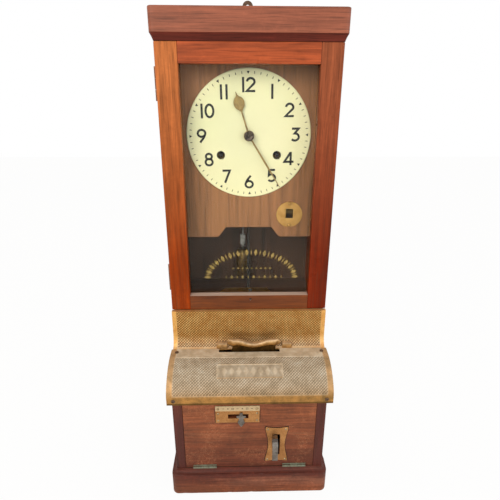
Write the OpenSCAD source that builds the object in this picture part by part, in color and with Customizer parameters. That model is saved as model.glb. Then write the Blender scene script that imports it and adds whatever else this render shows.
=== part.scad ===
// Wall-hung card time recorder: a glazed clock case over a brass-covered
// card throat and a lower box with a drop flap.
// +Z is up, the front faces -Y, and the origin is the centre of the foot.

/* [Case] */
// Width of the case, outside the side boards
case_w = 340; // [300:1:420]
// Depth from the door face to the wall
upper_d = 180; // [170:1:220]
// Depth from the flap face to the wall
lower_d = 262; // [250:1:310]
// Height of the plinth face
plinth_h = 57; // [40:1:80]
// Height of the hollow moulding on the plinth
plinth_cove_h = 11; // [6:1:20]
// How far the plinth stands out past the case
plinth_over = 12; // [8:1:20]
// Thickness of the side boards
side_t = 21; // [16:1:24]
// Thickness of the back board
back_t = 12; // [8:1:18]
// Thickness of the shelf and base boards
shelf_t = 12; // [8:1:18]
// Height of the shelf under the clock, at its top face
shelf_z = 440; // [420:1:445]

/* [Hood] */
// Height of the hood's front board
hood_h = 41; // [30:1:60]
// Height of the hollow moulding under the hood
hood_cove_h = 12.5; // [8:0.5:20]
// How far the hood stands out past the case
hood_over = 6.5; // [4:0.5:12]
// Thickness of the hood boards
hood_t = 14; // [10:1:18]
// Radius of the hood's rounded corners
hood_r = 6; // [3:0.5:8]

/* [Door] */
// Height of the door
door_h = 533.5; // [500:0.5:600]
// Thickness of the door frame
door_t = 22; // [20:1:26]
// Width of the two stiles
stile_w = 41; // [34:1:50]
// Height of the top rail
top_rail_h = 36.5; // [30:0.5:50]
// Height of the bottom rail
bottom_rail_h = 34; // [28:1:45]
// Thickness of the glass pane
glass_t = 3; // [2:0.5:4]
// Depth of the frame in front of the pane
glass_set = 16; // [12:0.5:17]
// How far the rebate laps behind the frame's edge
rebate_w = 6; // [4:0.5:9]

/* [Clock face] */
// Diameter of the dial
dial_d = 250; // [220:1:256]
// Thickness of the dial
dial_t = 4; // [2:0.5:5]
// Height of the dial centre
dial_z = 809; // [790:1:815]
// Depth of the dial board's front, behind the door face
board_set = 48; // [44:1:60]
// Thickness of the dial board
board_t = 10; // [6:1:12]
// Height of the dial board's lower edge
board_z = 594; // [580:1:620]
// Height of the notch in that edge
notch_h = 22; // [10:1:30]
// Half width of the notch at its top
notch_w = 50; // [40:1:60]
// Width of each curved shoulder beside the notch
shoulder_w = 18; // [12:1:24]
// Length of the minute hand from the centre
minute_l = 121; // [100:1:123]
// Length of the hour hand from the centre
hour_l = 86; // [70:1:95]
// Widest part of the hour hand
hour_w = 21.5; // [16:0.5:26]
// Angle of the minute hand at rest, clockwise from 12
minute_at = 148.2; // [0:0.1:360]
// Angle of the hour hand at rest, clockwise from 12
hour_at = 342.35; // [0:0.05:360]
// Sideways place of the winding holes
wind_x = 57; // [50:1:64]
// Drop of the winding holes below the dial centre
wind_drop = 38.6; // [32:0.2:44]
// Diameter of the winding holes in the dial
wind_hole_d = 14.6; // [12:0.2:17]
// Diameter of the date plate
date_d = 56; // [50:1:60]
// Sideways place of the date plate
date_x = 87.5; // [80:0.5:92]
// Height of the date plate's centre
date_z = 644.5; // [640:0.5:660]

/* [Movement] */
// Width of the movement plates
plate_w = 150; // [144:1:170]
// Height of the movement plates
plate_h = 162; // [158:1:172]
// Thickness of the movement plates
plate_t = 3; // [2:0.5:4]
// Space between the movement plates
plate_gap = 53; // [50:1:56]
// Diameter of the centre arbor
centre_d = 6; // [5:0.5:8]
// Diameter of the winding arbors
wind_d = 9; // [8:0.5:10]
// Outer diameter of the spring barrels
barrel_d = 60; // [40:1:62]
// Height of the pendulum's pivot
pend_z = 870; // [855:1:872]
// Sideways place of the pendulum
pend_x = -12; // [-20:1:0]
// Length from the pivot to the middle of the bob
pend_l = 385; // [380:1:390]
// Diameter of the bob
bob_d = 36; // [28:1:38]

/* [Brass covers] */
// Thickness of the brass covers
cover_t = 3; // [2:0.5:4]
// How far the upper cover stands back from the door face at its ledge
ledge_y = 24; // [22:1:28]
// Height of the ledge
ledge_z = 354; // [346:1:360]
// Reach of the apron in front of the door face
apron_y = 122; // [118:1:126]
// Width of the apron
apron_w = 345.6; // [341:0.1:352]
// Height of the apron's bottom lip
apron_z = 284; // [282:1:290]
// Width of the card mouth cut in the ledge
mouth_w = 135; // [134:1:150]
// Depth of the card mouth, front to back
mouth_d = 13; // [12:0.5:16]
// Width of the card mouth lip
lip_w = 110; // [100:1:112]

/* [Lower box] */
// Thickness of the drop flap
flap_t = 18; // [14:1:20]
// Height of the flap's upper edge
flap_top = 275; // [262:1:276]
// Width of the column escutcheon
column_plate_w = 98; // [90:1:110]
// Height of the column escutcheon without its scale
column_plate_h = 32; // [28:1:36]
// Lower edge of the column escutcheon
column_plate_z = 201; // [196:1:206]
// Sideways place of the column escutcheon
column_plate_x = -27; // [-34:1:-20]
// Width of the column slot
column_slot_w = 45; // [43:1:52]
// Height of the column slot
column_slot_h = 11.2; // [10:0.2:12]
// Sideways place of the column pointer at rest
pointer_x = -19; // [-22:1:-16]
// Sideways place of the lever escutcheon
lever_x = 61.5; // [55:0.5:70]
// Height of the lever escutcheon
lever_plate_h = 100; // [90:1:108]
// Lower edge of the lever escutcheon, above the plinth
lever_plate_up = 18; // [14:1:24]
// Width of the lever escutcheon at its ends
lever_plate_w = 52; // [46:1:56]
// Width of the lever escutcheon at its waist
lever_waist_w = 38; // [32:1:42]
// Width of the lever slot
lever_slot_w = 15.4; // [14:0.2:18]
// Height of the lever slot
lever_slot_h = 59; // [56:1:62]

/* [Fits] */
// Running clearance of shafts, on the radius
run = 0.05; // [0.02:0.01:0.09]
// Gap between pieces that move past each other
gap = 0.5; // [0.3:0.1:1]

/* [Hidden] */
$fn = 64;
nil = 0.01;
back_y = (lower_d + plinth_over) / 2;
door_y = back_y - upper_d;
low_y = back_y - lower_d;
box_z = plinth_h + plinth_cove_h;
door_top = shelf_z + door_h;
cap_top = door_top + hood_cove_h;
hood_top = cap_top + hood_h;
inner_w = case_w - 2 * side_t;
board_y = door_y + board_set;
dial_y = board_y - dial_t;
plate_y = board_y + board_t + 10;
plate_back_y = plate_y + plate_t + plate_gap;
pend_y = (plate_back_y + plate_t + back_y - back_t) / 2;
hinge_y = low_y - 2.6;
hinge_z = box_z + 3;
lever_plate_z = box_z + lever_plate_up;
open_w = case_w - 2 * stile_w;
open_z0 = shelf_z + bottom_rail_h;
open_z1 = door_top - top_rail_h;
glass_y = door_y + glass_set;
seam = 0.1;
upper_out = 8;
cove_h = 26;
ledge_end = 50;
apron_drop = 54;
door_pin_x = -case_w / 2 - 3.1;
door_pin_y = door_y + door_t;
wind_z = dial_z - wind_drop;
plates_z0 = wind_z - 45;
card_y = door_y - ledge_y - 10;
rail_d = 8;
frame_x = 112;
type_y = card_y + 37;
type_z = 240;
hammer_y = card_y - 20;
hammer_z = 190;

// A box given by its lowest and highest corners.
module span(low, high) {
    translate(low) cube(high - low);
}

// A round bar along X, Y or Z between two places.
module bar_x(x0, x1, y, z, d) {
    translate([x0, y, z]) rotate([0, 90, 0]) cylinder(h = x1 - x0, d = d);
}
module bar_y(x, y0, y1, z, d) {
    translate([x, y0, z]) rotate([-90, 0, 0]) cylinder(h = y1 - y0, d = d);
}
module bar_z(x, y, z0, z1, d) {
    translate([x, y, z0]) cylinder(h = z1 - z0, d = d);
}

// A flat plate drawn in X and Z, from its front face backwards.
module plate_xz(y0, t) {
    translate([0, y0 + t, 0]) rotate([90, 0, 0]) linear_extrude(t) children();
}

// A profile drawn in Y and Z, run along X about the middle.
module run_x(w, x = 0) {
    translate([x - w / 2, 0, 0]) rotate([90, 0, 90]) linear_extrude(w) children();
}

// A domed screw head with its slot, facing -Y.
module screw_head(x, y, z, d = 6, turn = 20) {
    translate([x, y, z]) rotate([90, 0, 0]) difference() {
        union() {
            cylinder(h = 0.6, d = d);
            translate([0, 0, 0.6]) cylinder(h = 0.7, d1 = d, d2 = d * 0.6);
        }
        rotate(turn) translate([-d, -0.5, 0.7]) cube([2 * d, 1, 2]);
    }
}

// Three mitred runs of a moulding round the front and sides of the case.
// The profile is drawn as distance out from the case and height.
module surround(front, reach) {
    w = case_w / 2;
    m = reach + 1;
    intersection() {
        translate([w + m, front, 0]) rotate([90, 0, -90]) linear_extrude(2 * (w + m)) children();
        linear_extrude(2000) polygon([[-w - m + seam, front - m], [w + m - seam, front - m],
            [w - seam, front], [-w + seam, front]]);
    }
    for (side = [0, 1]) mirror([side, 0, 0]) intersection() {
        translate([w, back_y, 0]) rotate([90, 0, 0]) linear_extrude(back_y - front + m) children();
        linear_extrude(2000) polygon([[w, front], [w + m, front - m], [w + m, back_y], [w, back_y]]);
    }
}

// Points of the brass covers' outline, as distance in front of the door face
// and height, drawn in by t for the inner face. The cove is a quarter ellipse
// and the apron a fuller one.
function cove_points(t) = [for (a = [0:10:90])
    [upper_out - t + (ledge_y - upper_out) * (1 - cos(a)), ledge_z - t + cove_h * (1 - sin(a))]];
function apron_points(t) = [for (a = [0:6:90])
    [ledge_end + (apron_y - ledge_end - t) * pow(sin(a), 1.15),
     ledge_z - apron_drop + (apron_drop - t) * pow(cos(a), 1.15)]];
// The same points in Y and Z.
function placed(points) = [for (p = points) [door_y - p[0], p[1]]];
function reversed(points) = [for (i = [len(points) - 1:-1:0]) points[i]];

cheek = placed(concat([[upper_out - cover_t, shelf_z - shelf_t]], cove_points(cover_t),
    apron_points(cover_t), [[apron_y - cover_t, apron_z + 2]]));

// The side boards widen into a cheek under the brass apron.
module side_board(x) {
    color("sienna") run_x(side_t, x)
        polygon(concat([[low_y, 0], [back_y, 0], [back_y, door_top], [door_y + door_t + gap, door_top],
            [door_y + door_t + gap, shelf_z - shelf_t]], cheek, [[low_y, apron_z + 2]]));
}
module left_side() { side_board(-(case_w - side_t) / 2); }
module right_side() { side_board((case_w - side_t) / 2); }

// The hanger plate is let in flush with the back board.
hanger_w = 22;
hanger_t = 3;
hanger_foot_w = 90;
hanger_foot_z = door_top - 70;
hanger_rise = 33;
wall_hole_d = 7;
wall_hole_x = 100;
wall_hole_z = 100;
hang_hole_d = 8;
hanger_screw_d = 4;
module hanger_holes(y0) {
    for (x = [-30, 30]) for (z = [15, 50]) bar_y(x, y0, back_y + 1, door_top - z, hanger_screw_d);
}
module back_board() {
    color("saddlebrown") difference() {
        span([-inner_w / 2, back_y - back_t, 0], [inner_w / 2, back_y, door_top]);
        for (x = [-1, 1])
            bar_y(x * wall_hole_x, back_y - back_t - 1, back_y + 1, wall_hole_z, wall_hole_d);
        span([-hanger_foot_w / 2, back_y - hanger_t, hanger_foot_z],
            [hanger_foot_w / 2, back_y + 1, door_top + 1]);
        hanger_holes(back_y - back_t - 1);
    }
}

// The shelf closes the clock compartment and lets the down shaft through.
shaft_x = 0;
shaft_y = plate_y + plate_t + 12;
shaft_d = 6;
module shelf_board() {
    color("saddlebrown") difference() {
        span([-inner_w / 2, door_y + door_t + gap, shelf_z - shelf_t],
            [inner_w / 2, back_y - back_t, shelf_z]);
        bar_z(shaft_x, shaft_y, shelf_z - shelf_t - 1, shelf_z + 1, shaft_d + 2 * run);
    }
}
module base_board() {
    color("saddlebrown") span([-inner_w / 2, low_y, box_z - shelf_t],
        [inner_w / 2, back_y - back_t, box_z]);
}
// A batten under the base board, front to back, stands level with the plinth.
batten_w = 60;
module plinth() {
    cove = [for (a = [0:15:90])
        [plinth_over - (plinth_over - 1) * sin(a), plinth_h + plinth_cove_h * (1 - cos(a))]];
    color("saddlebrown") surround(low_y, plinth_over)
        polygon(concat([[0, 0], [plinth_over, 0]], cove, [[0, box_z]]));
    color("saddlebrown") span([-inner_w / 2, low_y, 0], [inner_w / 2, low_y + 16, box_z - shelf_t]);
    color("saddlebrown") span([-batten_w / 2, low_y + 16 + seam, 0],
        [batten_w / 2, back_y - back_t - seam, box_z - shelf_t]);
}

// The hood is an open box of boards with a lid let in behind them.
module case_cap() {
    color("sienna") span([-case_w / 2, door_y, door_top], [case_w / 2, back_y - hanger_t, cap_top]);
}
module hood_cove() {
    cove = [for (a = [0:15:90])
        [hood_over * (1 - cos(a)), cap_top - hood_cove_h * (1 - sin(a))]];
    color("maroon") surround(door_y, hood_over) polygon(concat([[0, door_top]], cove, [[0, cap_top]]));
}
module hood_boards() {
    arc = [for (a = [0:15:90]) [hood_over - hood_r + hood_r * cos(a), hood_top - hood_r + hood_r * sin(a)]];
    color("sienna") surround(door_y, hood_over)
        polygon(concat([[0, cap_top], [hood_over, cap_top]], arc, [[0, hood_top]]));
    color("sienna") span([-case_w / 2 + hood_t, door_y, cap_top],
        [case_w / 2 - hood_t, door_y + hood_t - hood_over, hood_top - hood_t]);
    color("sienna") span([-case_w / 2 + hood_t, back_y - hanger_t - hood_t, cap_top],
        [case_w / 2 - hood_t, back_y - hanger_t, hood_top - hood_t]);
    for (x = [-1, 1]) color("sienna") translate([x * (case_w - hood_t) / 2, 0, 0])
        span([-hood_t / 2 + seam, door_y, cap_top], [hood_t / 2 - seam, back_y, hood_top - hood_t]);
}
module hood_lid() {
    color("sienna") span([-case_w / 2, door_y, hood_top - hood_t],
        [case_w / 2, back_y - hanger_t, hood_top]);
}

// The hanger is screwed to the back board and shows above the hood.
module hanger_plate() {
    color("peru") difference() {
        plate_xz(back_y - hanger_t, hanger_t) {
            translate([0, hood_top + hanger_rise]) circle(d = hanger_w);
            translate([-hanger_w / 2, door_top - 1])
                square([hanger_w, hood_top + hanger_rise - door_top + 1]);
            translate([-hanger_foot_w / 2, hanger_foot_z])
                square([hanger_foot_w, door_top - hanger_foot_z]);
        }
        bar_y(0, back_y - hanger_t - 1, back_y + 1, hood_top + hanger_rise, hang_hole_d);
        hanger_holes(back_y - hanger_t - 1);
    }
}
module case_screws() {
    for (x = [-30, 30]) for (z = [15, 50])
        color("peru") bar_y(x, back_y - back_t + 2, back_y, door_top - z, hanger_screw_d);
}

// The door frame: stiles full height, rails between them, all rebated behind
// for the pane and the beads that hold it.
door_z0 = shelf_z + gap;
door_z1 = door_top - gap;
module rebate() {
    span([-open_w / 2 - rebate_w, glass_y, open_z0 - rebate_w],
        [open_w / 2 + rebate_w, door_y + door_t + 1, open_z1 + rebate_w]);
}
module stile(side) {
    difference() {
        translate([side < 0 ? -case_w / 2 : open_w / 2, door_y, door_z0])
            cube([stile_w, door_t, door_z1 - door_z0]);
        rebate();
    }
}
module door_left_stile() { color("chocolate") stile(-1); }
module door_right_stile() { color("sienna") stile(1); }
module door_top_rail() {
    color("sienna") difference() {
        span([-open_w / 2, door_y, open_z1], [open_w / 2, door_y + door_t, door_z1]);
        rebate();
    }
}
lock_x = 3;
lock_d = 5;
lock_nut_d = 12;
lock_cam = [8, 14];
lock_end = 3;
lock_z = open_z0 - rebate_w - lock_d / 2 - gap;
module door_bottom_rail() {
    color("sienna") difference() {
        span([-open_w / 2, door_y, door_z0], [open_w / 2, door_y + door_t, open_z0]);
        rebate();
        bar_y(lock_x, door_y - 1, door_y + door_t + 1, lock_z, lock_d + 2 * run);
    }
}
module door_glass() {
    m = rebate_w - gap;
    color("lightblue", 0.3) span([-open_w / 2 - m, glass_y, open_z0 - m],
        [open_w / 2 + m, glass_y + glass_t, open_z1 + m]);
}
module glass_beads() {
    y0 = glass_y + glass_t;
    y1 = door_y + door_t;
    m = rebate_w - seam;
    color("saddlebrown") for (side = [-1, 1]) {
        span([side < 0 ? -open_w / 2 - m : open_w / 2 + m - rebate_w + gap, y0, open_z0 - m],
            [side < 0 ? -open_w / 2 - m + rebate_w - gap : open_w / 2 + m, y1, open_z1 + m]);
        z = side < 0 ? open_z0 - m : open_z1 + m - rebate_w + gap;
        span([-open_w / 2, y0, z], [open_w / 2, y1, z + rebate_w - gap]);
    }
}

// Each door hinge: two outer knuckles and the pin on the case, one between on
// the door.
knuckle_d = 6;
hinge_pin_d = 3;
door_hinge_h = 60;
door_hinge_z = [shelf_z + 70, door_top - 70];
leaf_t = 1.2;
leaf_reach = 20;
tongue_out = 1.2;
tongue_t = 2.8;
module door_hinges() {
    color("goldenrod") for (z = door_hinge_z) difference() {
        union() {
            bar_z(door_pin_x, door_pin_y, z - door_hinge_h / 6 + gap,
                z + door_hinge_h / 6 - gap, knuckle_d);
            span([-case_w / 2 - leaf_t, door_y + 4, z - door_hinge_h / 6 + gap],
                [-case_w / 2, door_pin_y - 3.5, z + door_hinge_h / 6 - gap]);
            span([door_pin_x, door_pin_y - 5, z - door_hinge_h / 6 + gap],
                [-case_w / 2, door_pin_y - 1.8, z + door_hinge_h / 6 - gap]);
        }
        bar_z(door_pin_x, door_pin_y, z - door_hinge_h, z + door_hinge_h, hinge_pin_d + 2 * run);
    }
}
module door_hinge_pins() {
    color("goldenrod") for (z = door_hinge_z) {
        bar_z(door_pin_x, door_pin_y, z - door_hinge_h / 2, z + door_hinge_h / 2, hinge_pin_d);
        for (side = [-1, 1]) {
            low = side < 0 ? z - door_hinge_h / 2 : z + door_hinge_h / 6;
            bar_z(door_pin_x, door_pin_y, low, low + door_hinge_h / 3, knuckle_d);
            span([-case_w / 2 - leaf_t, door_pin_y + 0.6, low],
                [-case_w / 2, door_pin_y + leaf_reach, low + door_hinge_h / 3]);
            span([door_pin_x, door_pin_y + tongue_out, low],
                [-case_w / 2, door_pin_y + tongue_out + tongue_t, low + door_hinge_h / 3]);
        }
    }
}
module door_lock() {
    z = lock_z;
    color("goldenrod") {
        bar_y(lock_x, door_y + 1, door_y + door_t + 1, z, lock_d);
        bar_y(lock_x, door_y + door_t + gap, door_y + door_t + lock_end, z, lock_nut_d);
        span([lock_x - lock_cam[0] / 2, door_y + door_t + gap, z],
            [lock_x + lock_cam[0] / 2, door_y + door_t + lock_end, z + lock_cam[1]]);
    }
}

// The dial board fills the case behind the glass. Its lower edge has a raised
// notch with curved shoulders.
board_hole_d = 20;
date_hole = [24, 28];
module dial_board() {
    shoulder = [for (k = [0:0.1:1]) [notch_w + shoulder_w * k, board_z + notch_h * pow(1 - k, 1.25)]];
    color("peru") difference() {
        plate_xz(board_y, board_t) difference() {
            translate([-inner_w / 2, board_z]) square([inner_w, door_top - board_z]);
            polygon(concat([[notch_w + shoulder_w, board_z - 1], [-notch_w - shoulder_w, board_z - 1]],
                [for (p = reversed(shoulder)) [-p[0], p[1]]], shoulder));
        }
        bar_y(0, board_y - 1, board_y + board_t + 1, dial_z, board_hole_d);
        for (x = [-wind_x, wind_x]) bar_y(x, board_y - 1, board_y + board_t + 1, wind_z, board_hole_d);
        span([date_x - date_hole[0] / 2, board_y - 1, date_z - date_hole[1] / 2],
            [date_x + date_hole[0] / 2, board_y + board_t + 1, date_z + date_hole[1] / 2]);
    }
}
dial_hole_d = 12;
module dial() {
    rim = 1.2;
    color("lightyellow") difference() {
        union() {
            bar_y(0, dial_y + rim, board_y, dial_z, dial_d);
            bar_y(0, dial_y, dial_y + rim + nil, dial_z, dial_d - 2 * rim);
        }
        bar_y(0, dial_y - 1, board_y + 1, dial_z, dial_hole_d);
        for (x = [-wind_x, wind_x]) bar_y(x, dial_y - 1, board_y + 1, wind_z, wind_hole_d);
    }
}
date_t = 2;
date_window = [16, 20.5];
window_drop = 8;
date_screw_r = 24;
bracket_t = 2;
bracket_x = [-17, 15];
drum_y = board_y + board_t + 17;
drum_z = date_z + 2;
drum_d = 32;
drum_w = 22;
drum_wheel_d = 20;
drum_wheel_w = 3;
spindle_d = 4;
module date_plate() {
    color("goldenrod") difference() {
        union() {
            bar_y(date_x, board_y - date_t, board_y, date_z, date_d);
            for (side = [-1, 1])
                screw_head(date_x, board_y - date_t, date_z + side * date_screw_r, 6, 10);
        }
        translate([date_x - date_window[0] / 2, board_y - date_t - 1, date_z - window_drop])
            cube([date_window[0], date_t + 2, date_window[1]]);
    }
    color("goldenrod") {
        for (x = bracket_x) span([date_x + x, board_y + board_t, drum_z - 8],
            [date_x + x + bracket_t, drum_y + 6, drum_z + 8]);
        bar_x(date_x - 15, date_x + 15, drum_y, drum_z, spindle_d);
    }
}
module date_drum() {
    x = date_x - drum_w / 2;
    color("lightgray") difference() {
        union() {
            bar_x(x, x + drum_w, drum_y, drum_z, drum_d);
            bar_x(x - drum_wheel_w, x, drum_y, drum_z, drum_wheel_d);
        }
        bar_x(x - 9, x + drum_w + 9, drum_y, drum_z, spindle_d + 2 * run);
    }
}

// Hands, drawn pointing up from the centre and turned to their rest angle.
module hand_turn(angle) {
    translate([0, 0, dial_z]) rotate([0, angle, 0]) children();
}
module turned_on_centre() {
    translate([0, 0, dial_z]) rotate([-90, 0, 0]) rotate_extrude() children();
}
hour_tube_d = centre_d + 4;
contrate_y = plate_y + plate_t + 4;
contrate_r = 25;
hour_y = dial_y - 5;
minute_y = hour_y - 5;
hand_t = 1.5;
spade_at = hour_l - 22;
// Half of the spade's outline, a pear that runs into the tip.
spade = concat([[1.6, 8], [1.5, spade_at - 16]],
    [for (a = [-60:10:70]) [hour_w / 2 * cos(a), spade_at + 13 * sin(a)]],
    [[1.3, hour_l - 6], [0.6, hour_l]]);
module hour_hand() {
    bore = centre_d / 2 + run;
    tube = hour_tube_d / 2;
    color("darkgoldenrod") {
        hand_turn(hour_at) plate_xz(hour_y, hand_t)
            polygon(concat(spade, [for (p = reversed(spade)) [-p[0], p[1]]]));
        turned_on_centre() polygon([[bore, hour_y - 0.5], [9.5, hour_y - 0.5], [9.5, hour_y + 2],
            [tube, hour_y + 2], [tube, plate_y - 3.5], [18, plate_y - 3.5], [18, plate_y - gap],
            [bore, plate_y - gap]]);
    }
}
module minute_hand() {
    color("darkgoldenrod") {
        hand_turn(minute_at) plate_xz(minute_y + 0.5, hand_t)
            polygon([[-1.9, 5], [-1.7, 12], [-1.9, minute_l * 0.55], [-0.6, minute_l],
                [0.6, minute_l], [1.9, minute_l * 0.55], [1.7, 12], [1.9, 5]]);
        turned_on_centre() polygon([[0, minute_y - 4], [3, minute_y - 4], [4.5, minute_y - 1.5],
            [8.5, minute_y - 1.5], [10.5, minute_y - 0.5], [10.5, hour_y - 0.5 - gap],
            [centre_d / 2, hour_y - 0.5 - gap], [centre_d / 2, contrate_y], [contrate_r, contrate_y],
            [contrate_r, contrate_y + 2], [centre_d / 2, contrate_y + 2],
            [centre_d / 2, plate_back_y + plate_t], [0, plate_back_y + plate_t]]);
    }
}

// The two movement plates, drilled for the arbors, on four posts from the back.
post_x = plate_w / 2 - 8;
post_z = [plates_z0 + 8, plates_z0 + plate_h - 8];
post_d = 9;
escape_z = pend_z - 34;
arbor_d = 4;
crutch_d = 8;
pend_stud_d = 5;
module movement_plates() {
    color("goldenrod") for (y = [plate_y, plate_back_y]) difference() {
        span([-plate_w / 2, y, plates_z0], [plate_w / 2, y + plate_t, plates_z0 + plate_h]);
        bar_y(0, y - 1, y + plate_t + 1, dial_z, centre_d + 2 * run);
        for (x = [-wind_x, wind_x]) bar_y(x, y - 1, y + plate_t + 1, wind_z, wind_d + 2 * run);
        bar_y(pend_x, y - 1, y + plate_t + 1, escape_z, arbor_d + 2 * run);
        bar_y(pend_x, y - 1, y + plate_t + 1, pend_z, (y > plate_y ? crutch_d : arbor_d) + 2 * run);
    }
}
module movement_posts() {
    color("goldenrod") for (x = [-post_x, post_x]) for (z = post_z) {
        bar_y(x, plate_y + plate_t, plate_back_y, z, post_d);
        bar_y(x, plate_back_y + plate_t, back_y - back_t, z, post_d);
        screw_head(x, plate_y, z, 8);
    }
    color("goldenrod") bar_y(pend_x, pend_y - 4, back_y - back_t, pend_z, pend_stud_d);
}
// Each winding arbor ends in a square for the key, just behind its hole.
key_square = 5.2;
ratchet_d = 30;
ratchet_t = 3;
module winding_arbor(x) {
    color("gray") {
        bar_y(x, board_y + 2, plate_back_y + plate_t + 2, wind_z, wind_d);
        span([x - key_square / 2, dial_y + 0.5, wind_z - key_square / 2],
            [x + key_square / 2, board_y + 2, wind_z + key_square / 2]);
        bar_y(x, plate_back_y - 5 - ratchet_t, plate_back_y - 5, wind_z, ratchet_d);
    }
}
module winding_arbor_left() { winding_arbor(-wind_x); }
module winding_arbor_right() { winding_arbor(wind_x); }
module spring_barrel(x) {
    color("goldenrod") difference() {
        union() {
            bar_y(x, plate_y + plate_t + 8, plate_back_y - 12, wind_z, barrel_d);
            bar_y(x, plate_back_y - 12, plate_back_y - 10, wind_z, barrel_d + 2);
        }
        bar_y(x, plate_y, plate_back_y, wind_z, wind_d + 2 * run);
    }
}
module spring_barrel_left() { spring_barrel(-wind_x); }
module spring_barrel_right() { spring_barrel(wind_x); }

// Escape wheel with raked teeth, its arbor in both plates.
teeth = 30;
escape_r = 19;
escape_y = plate_back_y - 14;
escape_t = 2;
module escape_wheel() {
    step = 360 / teeth;
    color("goldenrod") {
        translate([pend_x, 0, escape_z]) plate_xz(escape_y, escape_t) difference() {
            polygon([for (i = [0:teeth - 1])
                for (k = [[escape_r - 4, 0], [escape_r, 0.35], [escape_r - 4, 0.5]])
                [k[0] * cos((i + k[1]) * step), k[0] * sin((i + k[1]) * step)]]);
            for (i = [0:4]) rotate(i * 72) translate([8.5, 0]) circle(d = 6);
        }
        bar_y(pend_x, plate_y, plate_back_y + plate_t, escape_z, arbor_d);
    }
}
// The anchor rocks on its own arbor and reaches the rod through the crutch.
anchor_w = 17;
module anchor() {
    color("gray") {
        translate([pend_x, 0, pend_z]) plate_xz(escape_y, escape_t) difference() {
            union() {
                circle(d = 9);
                for (side = [-1, 1]) polygon([[side * -3, 4], [side * 3, 4], [side * (anchor_w + 3), -10],
                    [side * (anchor_w + 1), -13], [side * anchor_w, -9]]);
            }
            circle(d = arbor_d - seam);
        }
        bar_y(pend_x, plate_y, plate_back_y, pend_z, arbor_d);
        bar_y(pend_x, plate_back_y, pend_y - 7, pend_z, crutch_d);
        span([pend_x - 3, pend_y - 9, pend_z - 70], [pend_x + 3, pend_y - 7, pend_z]);
        for (side = [-1, 1]) span([pend_x + side * 3.2 - 1, pend_y - 8, pend_z - 70],
            [pend_x + side * 3.2 + 1, pend_y + 3, pend_z - 66]);
    }
}

// The pendulum hangs from a stud in the back board.
rod_d = 4;
fork_z = pend_z - pend_l + 50;
bob_h = 61;
module pendulum_rod() {
    color("lightgray") {
        bar_z(pend_x, pend_y, pend_z - pend_l - 30, pend_z - 5, rod_d);
        difference() {
            bar_y(pend_x, pend_y - 3, pend_y + 3, pend_z, 12);
            bar_y(pend_x, pend_y - 4, pend_y + 4, pend_z, pend_stud_d + 2 * run);
        }
        bar_z(pend_x, pend_y, fork_z, fork_z + 8, 11);
        span([pend_x - 6, pend_y - 3, fork_z + 8], [pend_x + 6, pend_y + 3, fork_z + 32]);
    }
}
// The bob keeps clear of the movement and the back board.
module pendulum_bob() {
    low = pend_z - pend_l - 34;
    d = min(bob_d, back_y - back_t - plate_back_y - plate_t - 4);
    color("darkgoldenrod") difference() {
        union() {
            bar_z(pend_x, pend_y, low + 10, low + 10 + bob_h, d);
            translate([pend_x, pend_y, low + 10 + bob_h]) cylinder(h = 8, d1 = d, d2 = d * 0.6);
            bar_z(pend_x, pend_y, low, low + 8, 14);
        }
        bar_z(pend_x, pend_y, low + 3.9, low + 80, rod_d);
    }
}
collar_d = 12;
shaft_wheel_d = 30;
module down_shaft() {
    color("gray") {
        bar_z(shaft_x, shaft_y, type_z + 8, wind_z + 14, shaft_d);
        bar_z(shaft_x, shaft_y, wind_z + 6, wind_z + 12, collar_d);
        bar_z(shaft_x, shaft_y, type_z + 28, type_z + 34, shaft_wheel_d);
    }
}

// The upper cover runs from under the door down its cove to the ledge.
module upper_cover() {
    top = [[upper_out, shelf_z - gap * 2]];
    inner_top = [[upper_out - cover_t, shelf_z - gap * 2]];
    color("goldenrod") run_x(case_w)
        polygon(concat(placed(concat(top, cove_points(0))),
            reversed(placed(concat(inner_top, cove_points(cover_t))))));
}
// The apron carries on from there and ends in a lip. A narrow band turns down
// over the outside of each side board.
apron_outer = placed(concat([[ledge_y + seam, ledge_z]], apron_points(0), [[apron_y, apron_z]]));
band = 12;
module apron_cover() {
    inner = placed(concat([[ledge_y + seam, ledge_z - cover_t]], apron_points(cover_t),
        [[apron_y - cover_t, apron_z]]));
    deep = placed(concat([[ledge_y + seam, ledge_z - band]], apron_points(band),
        [[apron_y - band, apron_z]]));
    color("darkkhaki") {
        difference() {
            run_x(case_w) polygon(concat(apron_outer, reversed(inner)));
            span([-mouth_w / 2, door_y - ledge_y - mouth_d, ledge_z - 20],
                [mouth_w / 2, door_y - ledge_y + 1, ledge_z + 20]);
        }
        for (side = [-1, 1]) run_x((apron_w - case_w) / 2, side * (apron_w + case_w) / 4)
            polygon(concat(apron_outer, reversed(deep)));
        run_x(case_w - 2 * side_t - 2) polygon(placed([[apron_y - cover_t, apron_z], [apron_y, apron_z],
            [apron_y + 1, apron_z + 3], [apron_y, apron_z + 6], [apron_y - cover_t, apron_z + 6]]));
    }
}
cover_screw_d = 8;
module cover_screws() {
    color("gray") {
        for (x = [-1, 1]) {
            translate([x * (case_w / 2 - 10), door_y - ledge_y - 12, ledge_z]) 
                cylinder(h = 1.2, d = cover_screw_d);
            screw_head(x * (case_w / 2 - 11), door_y - apron_y, apron_z + 10,
                cover_screw_d);
        }
    }
}
module head_rail() {
    color("saddlebrown") span([-inner_w / 2, low_y, flap_top + gap * 2],
        [inner_w / 2, low_y + flap_t, flap_top + 24]);
}

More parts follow.
